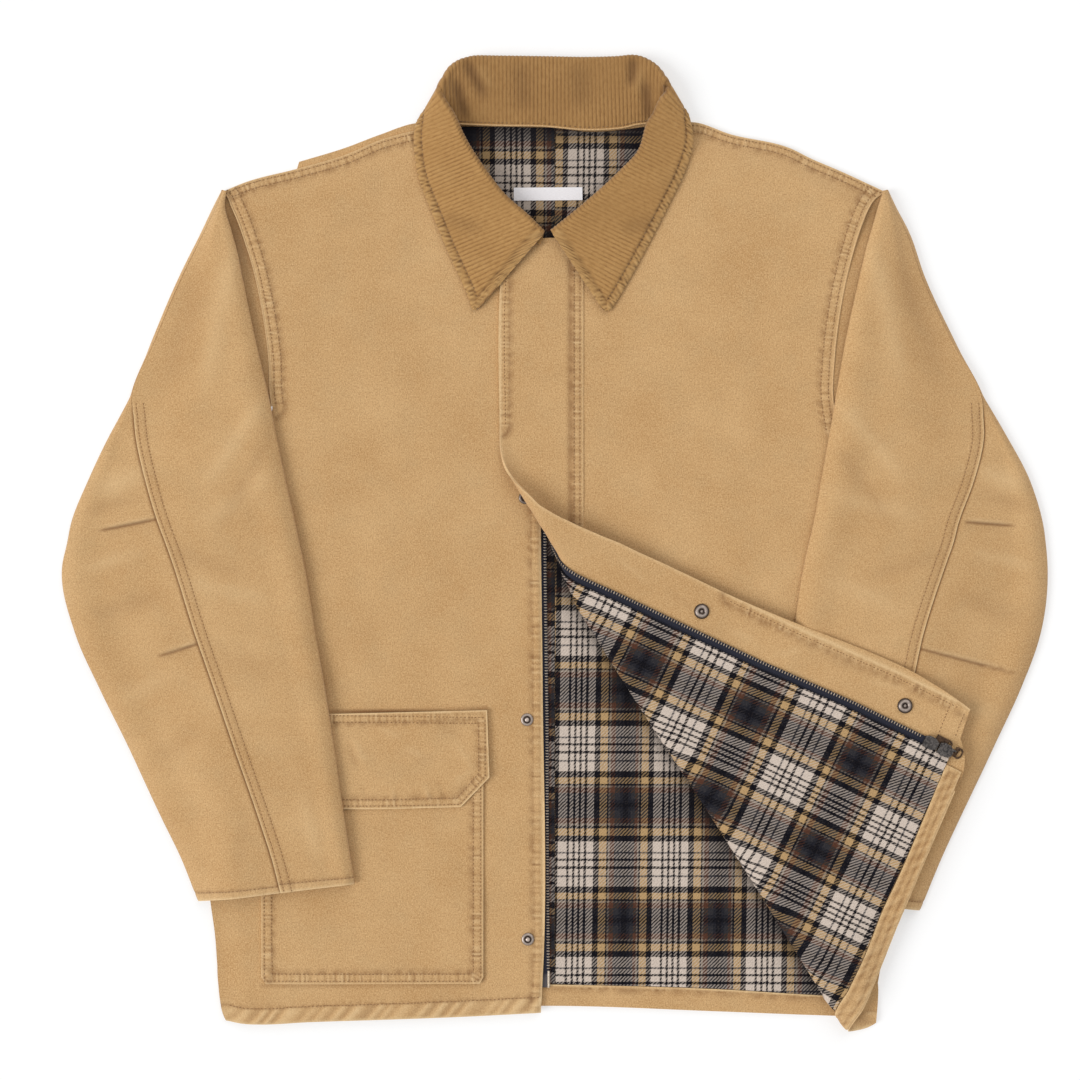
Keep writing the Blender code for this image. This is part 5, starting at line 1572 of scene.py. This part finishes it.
def collar_grid(at):
    """Columns from the leaf's edge over the roll to the neck, how far each point has come,
    how long the leaf is, and which columns go on past the leaf."""
    edge, top, centre, crown, out, neck, whole = collar_columns(at)
    length = np.linalg.norm(top - edge, axis=1)[:, None]
    near = np.array(LEAF_STEPS) * np.minimum(1.0, length * 0.45 / LEAF_STEPS[-1])
    rest = np.linspace(0, 1, LEAF_ROWS - len(LEAF_STEPS) + 1)[1:]
    along = np.concatenate([near, mix(near[:, -1:], length, rest)], 1)
    leaf = mix(edge[:, None], top[:, None], (along / length)[..., None])
    bend = np.stack([centre + (out * math.cos(a) + crown * math.sin(a)) * ROLL_RADIUS
                     for a in np.linspace(0, math.pi, ROLL_ROWS + 1)[1:]], 1)
    low = bend[:, -1]
    s = np.linspace(0, 1, STAND_ROWS + 1)[1:]
    stand = mix(low[:, None], neck[:, None], s[:, None])
    drop = np.linalg.norm(neck - low, axis=1)[:, None]
    reach = np.concatenate([along, length + np.linspace(0, ROLL_RUN, ROLL_ROWS + 1)[1:],
                            length + ROLL_RUN + drop * s], 1)
    return np.concatenate([leaf, bend, stand], 1), reach, length, np.where(whole)[0]


def dress_collar(grid, arc, reach, on_leaf, pitch, fronts):
    """How far the wales, the stitched rim and the creases rise, and their marks, with painted
    shade and painted highlight among them.
    """
    x, y = grid[..., 0], grid[..., 1]
    by_right, by_left = (measure(x, y, line) for line in fronts)
    front = np.minimum(by_right[0], by_left[0])
    down_front = np.where(by_right[0] < by_left[0], by_right[1], by_left[1])
    rim = np.where(on_leaf, np.minimum(reach, front), 99.0)
    held = hump(rim, LEAF_STITCH, 1.1)
    at_rim = np.where(front < reach, down_front, arc)
    wave = 0.7 * waver(at_rim + 0.6 * rim, 4.6, 1.0) + 0.6 * waver(at_rim, 3.3, 4.0)
    wave *= 1.0 - smooth(6.5, 9.0, rim)
    uneven = 0.75 + 0.25 * np.sin(arc / 37.0 + reach / 21.0) * np.sin(arc / 19.0 - reach / 33.0)
    flat_band = 1.0 - 0.6 * (1.0 - smooth(6.0, 8.0, rim))
    rib = 1.0 - np.abs(np.modf(arc / pitch)[0] * 2 - 1) ** 2.4
    dips = Relief(x, y)
    dips.creases(COLLAR_CREASES)
    lift = 0.62 * rib * (1.0 - 0.7 * held) * uneven * flat_band - 0.55 * held
    lift = lift + 0.6 * wave - 0.6 * hump(rim, 0.0, 0.9) + dips.lift
    # dark: painted shade along the stitch line, in crease valleys, in pucker hollows and over the
    # roll and stand; the pale mark: worn near the rim, with painted highlight on pucker crests
    # and crease ridges; the wale mark sets the painted shade in the valleys
    return lift, {
        "wale": mix(0.75, rib, flat_band * uneven),
        "dark": held * 0.45 + dips.dark * 2.4 + np.maximum(-wave, 0) + 0.3 * ~on_leaf,
        "wear_and_highlight": 0.25 * (1.0 - smooth(1.0, 6.5, rim)) + 0.45 * np.maximum(wave, 0)
        + 0.7 * dips.wear_and_highlight}


def build_collar():
    spots, at, pitch = collar_spots()
    grid, reach, length, keep = collar_grid(at)
    cut = LEAF_ROWS
    right_tip, left_tip = collar_columns(np.array([0.0, len(COLLAR) - 1.0]))[0][:, :2]
    rights = np.vstack([right_tip, COLLAR[0, 1, :2]])
    lefts = np.vstack([left_tip, COLLAR[-1, 1, :2]])
    for tip, side, station in ((right_tip, rights, 2), (left_tip, lefts, -3)):
        near = np.linalg.norm(grid[:, :cut, :2] - tip, axis=-1) < TIP_REACH
        bent = blunt(grid[:, :cut], tip, COLLAR[station, 2, :2], side[1])
        grid[:, :cut, :2] = np.where(near[..., None], bent, grid[:, :cut, :2])
    arc = np.repeat(spots[:, None], grid.shape[1], 1)
    lift, marks = dress_collar(grid, arc, reach, reach < length + 1.0, pitch, (rights, lefts))
    normal = normals(grid)
    if normal[len(spots) // 6, 8, 2] < 0:
        normal = -normal
    outer = grid + normal * (COLLAR_WALL / 2 - 0.3 + lift)[..., None]
    inner = grid - normal * (COLLAR_WALL / 2)
    # the cut front ends have no roll or stand: their rows stop at the leaf
    obj = close_grids("collar_shell", outer, inner, CORD_CLOTH, np.stack([arc, reach], -1),
                      marks, keep[0], keep[-1], cut)
    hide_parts("collar")
    sewing = Sewing(obj)
    topstitch = grid[:, LEAF_STEPS.index(7.4)]
    clear = np.minimum(measure(topstitch[:, 0], topstitch[:, 1], rights)[0],
                       measure(topstitch[:, 0], topstitch[:, 1], lefts)[0]) > 6.5
    sewing.row(topstitch[clear], pitch=3.4, near=3.2)
    for tip, top, hand in ((right_tip, COLLAR[0, 1], 1.0), (left_tip, COLLAR[-1, 1], -1.0)):
        line = beside(np.linspace(tip, top[:2], 24), -LEAF_STITCH * hand)
        heights = np.linspace(9.2, 15.6, 24)[:, None]
        sewing.row(np.hstack([line, heights])[4:], pitch=3.4, near=6.0)
    sewn = [sewing.finish("stitches_collar", COLLAR_THREAD)]
    neck_line = curves_of("neck", np.linspace(6.2, 17.2, 90)) + (0.0, -0.6, 0.9)
    sewn.append(tube("neck_binding", neck_line, 0.8, 0.7, CLOTH, worn=0.1))
    sewn.append(beads("stitches_neck", neck_line[1:-1] + (0.0, 2.0, 0.6),
                      np.diff(neck_line, axis=0)[1:], [(0.0, 0.0, 1.0)] * (len(neck_line) - 2),
                      (0.8, 0.4, 0.4), COLLAR_THREAD))


# ------------------------------------------------------------------ stage
FLOOR_HALF, FLOOR_DROP = 6.0, 0.0005     # metres
LENS, SENSOR = 85.0, 36.0                # mm
CAMERA_X, CAMERA_HEIGHT = -12.75, 2179.5                 # over the picture's middle
# name, towards the lamp, how soft it is in degrees, what a white floor sends back from it
SUNS = (("key", (-0.80, -0.22, 0.60), 36.0, 0.36), ("fill", (0.30, 0.80, 0.60), 50.0, 0.15),
        ("top", (0.0, 0.0, 1.0), 60.0, 0.10))
SKY = 0.45


def build_stage():
    mesh = bpy.data.meshes.new("floor")
    corners = [(-1, -1), (1, -1), (1, 1), (-1, 1)]
    mesh.from_pydata([(x * FLOOR_HALF, y * FLOOR_HALF, 0) for x, y in corners], [],
                     [(0, 1, 2, 3)])
    s = Shader("white floor")
    s.set(Base_Color=(0.5, 0.5, 0.5, 1.0), Roughness=1.0, Emission_Color=(1.0, 1.0, 1.0, 1.0),
          Emission_Strength=0.49)
    mesh.materials.append(s.material)
    floor = bpy.data.objects.new("floor", mesh)
    floor.location.z = -FLOOR_DROP
    bpy.context.scene.collection.objects.link(floor)


def add_sun(name, toward, spread, radiance):
    data = bpy.data.lights.new(name, "SUN")
    direction = Vector(toward).normalized()
    data.angle = math.radians(spread)
    data.energy = radiance * math.pi / direction.z
    light = bpy.data.objects.new(name, data)
    light.rotation_euler = (-direction).to_track_quat("-Z", "Y").to_euler()
    bpy.context.scene.collection.objects.link(light)


def build_lights_and_camera():
    scene = bpy.context.scene
    world = bpy.data.worlds.new("studio")
    scene.world = world
    world.use_nodes = True
    background = world.node_tree.nodes["Background"]
    background.inputs[0].default_value = (1.0, 1.0, 1.0, 1.0)
    background.inputs[1].default_value = SKY
    for sun in SUNS:
        add_sun(*sun)
    data = bpy.data.cameras.new("camera")
    data.lens = LENS
    data.sensor_width = SENSOR
    camera = bpy.data.objects.new("camera", data)
    camera.location = np.array([CAMERA_X, SHIFT_Y, CAMERA_HEIGHT]) * MM
    scene.collection.objects.link(camera)
    scene.camera = camera
    scene.view_settings.view_transform = "Standard"


# ------------------------------------------------------------------ zip and snaps
TOOTH_PITCH = 2.44
TOOTH, LEFT_TOOTH = (1.65, 0.55, 0.75), (1.5, 0.6, 0.75)  # half length, width and height
RIGHT_TEETH, LEFT_TEETH = (13.0, -366.0), (40.0, -365.0)  # where each row starts and ends
RIGHT_TEETH_Z = 4.75
LEFT_TEETH_X, LEFT_TEETH_LOW = -6.3, -3.2  # from the fold side; below the left front's face
PIN_X, PIN_ENDS, PIN_Z = -5.3, (-367.4, -381.6), 4.9


def build_zip():
    brass = metal("zip brass", (168, 152, 132), (214, 200, 182), 0.42, 0.35)
    shaded = metal("zip brass in shade", (128, 113, 96), (186, 170, 150), 0.45, 0.35)
    ys = np.arange(*RIGHT_TEETH, -TOOTH_PITCH)
    spots = np.stack([np.interp(ys, TEETH_RIGHT[:, 0], TEETH_RIGHT[:, 1]), ys,
                      np.full(ys.shape, RIGHT_TEETH_Z)], 1)
    beads("zip_teeth_right", spots, [(1.0, 0.0, 0.0)] * len(ys), [(0.0, 0.0, 1.0)] * len(ys),
          TOOTH, brass)
    ys = np.arange(*LEFT_TEETH, -TOOTH_PITCH)
    x, low = np.full(ys.shape, LEFT_TEETH_X), np.full(ys.shape, LEFT_TEETH_LOW)
    spots = on_left(x, ys, low)
    beads("zip_teeth_left", spots, on_left(x + 1, ys, low) - spots,
          on_left(x, ys, low - 1) - spots, LEFT_TOOTH, shaded)
    pin = [(PIN_X, y, PIN_Z) for y in np.linspace(*PIN_ENDS, 6)]
    tube("zip_pin_right", np.array(pin), 1.1, 0.9, brass)


# a snap's profile from its middle out: radius, height off the cloth, tone from dark to bright
# (dark oxide with painted shade in the hollows, worn brass with painted highlight on the domes
# and rims)
STUD = ((0.0, 3.1, 1.0), (1.5, 3.0, 1.0), (1.9, 2.6, 0.15), (2.1, 1.7, 0.0), (3.1, 1.5, 0.0),
        (3.5, 1.7, 0.55), (4.4, 1.6, 0.75), (5.1, 1.2, 0.6), (5.4, 0.7, 0.3), (5.4, 0.3, 0.1))
SOCKET = ((0.0, 1.5, 0.6), (0.9, 1.5, 0.55), (1.2, 1.3, 0.0), (2.3, 1.4, 0.0), (2.8, 2.2, 0.3),
          (3.7, 2.5, 0.75), (4.8, 2.2, 0.5), (5.4, 1.7, 0.1), (6.3, 1.2, 0.05), (6.5, 0.3, 0.0))
# the last value dims a snap's tones as painted shade, for the stud that lies under the bend of
# the turned front
SNAPS = (("snap_stud_1", -23.8, -153.0, STUD, 0.0), ("snap_stud_2", -23.1, -340.0, STUD, 0.0),
         ("snap_stud_3", -25.5, 36.0, STUD, 0.6), ("snap_socket_1", -23.8, -153.0, SOCKET, 0.0),
         ("snap_socket_2", -23.1, -340.0, SOCKET, 0.0))
SNAP_SIDES = 32


def snap_metal():
    """Plated brass, dark with oxide and painted shade in its hollows, worn bright with painted
    highlights on its rims and domes.
    """
    s = Shader("snap metal")
    cloud = s.noise(s.solid(), 600.0, 3.0, 0.6)
    # the mark runs from oxide and painted shade to worn brass and painted highlight
    base = s.mix(s.mark("wear_and_highlight"), srgb(40, 24, 17), srgb(206, 190, 178))
    base = s.tint(base, cloud, 0.45, 0.75, 0.5, (112, 92, 76))
    s.set(Base_Color=base, Metallic=0.55, Roughness=s.stretch(cloud, 0.2, 0.8, 0.25, 0.5))
    s.set(Normal=s.bump(cloud, 0.00008, 0.5))
    return s.material


def build_snaps():
    material = snap_metal()
    turns = turns_round(SNAP_SIDES)
    for node, x, y, profile, shade in SNAPS:
        place, base, up = (on_left, -CANVAS, -1.0) if profile is SOCKET else (on_right, 0.0, 1.0)
        foot, above = place(np.full(2, x), np.full(2, y), np.array([base, base + up]))
        way = unit(above - foot)
        side = unit(np.cross(way, (0.0, 1.0, 0.0)))
        ahead = np.cross(way, side)
        points, tones = [foot + way * profile[0][1]], [profile[0][2]]
        for radius, height, tone in profile[1:] + ((profile[-1][0] - 0.4, 0.1, 0.0),):
            points += list(foot + way * height + radius * (np.cos(turns)[:, None] * side
                                                            + np.sin(turns)[:, None] * ahead))
            tones += [tone] * SNAP_SIDES
        faces, last = [], len(points) - SNAP_SIDES
        for k in range(SNAP_SIDES):
            j = (k + 1) % SNAP_SIDES
            faces.append((0, 1 + k, 1 + j))
            for a in range(1, last, SNAP_SIDES):
                b = a + SNAP_SIDES
                faces.append((a + k, b + k, b + j, a + j))
        faces.append(tuple(range(last, last + SNAP_SIDES))[::-1])
        tones = np.array(tones) * (1.0 - shade)
        obj = to_object(node + "_turned", points, faces, material, marks={"wear_and_highlight": tones})
        upright(obj)
        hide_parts(node)


build_stage()
build_fronts()
build_body_cloth()
build_left_cloth()
build_sleeves()
build_collar()
build_zip()
build_snaps()
build_lights_and_camera()

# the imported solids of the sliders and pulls, given their metal: its dark and its light tone
GUNMETAL, BRONZE = ((36, 34, 36), (112, 106, 102)), ((46, 31, 23), (104, 80, 60))
for node, tones in (("zip_slider_upper", GUNMETAL), ("zip_slider_lower", GUNMETAL),
                    ("zip_pull_upper", BRONZE), ("zip_pull_lower", BRONZE)):
    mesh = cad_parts[node].data
    mesh.materials.clear()
    mesh.materials.append(metal("metal " + node, *tones))
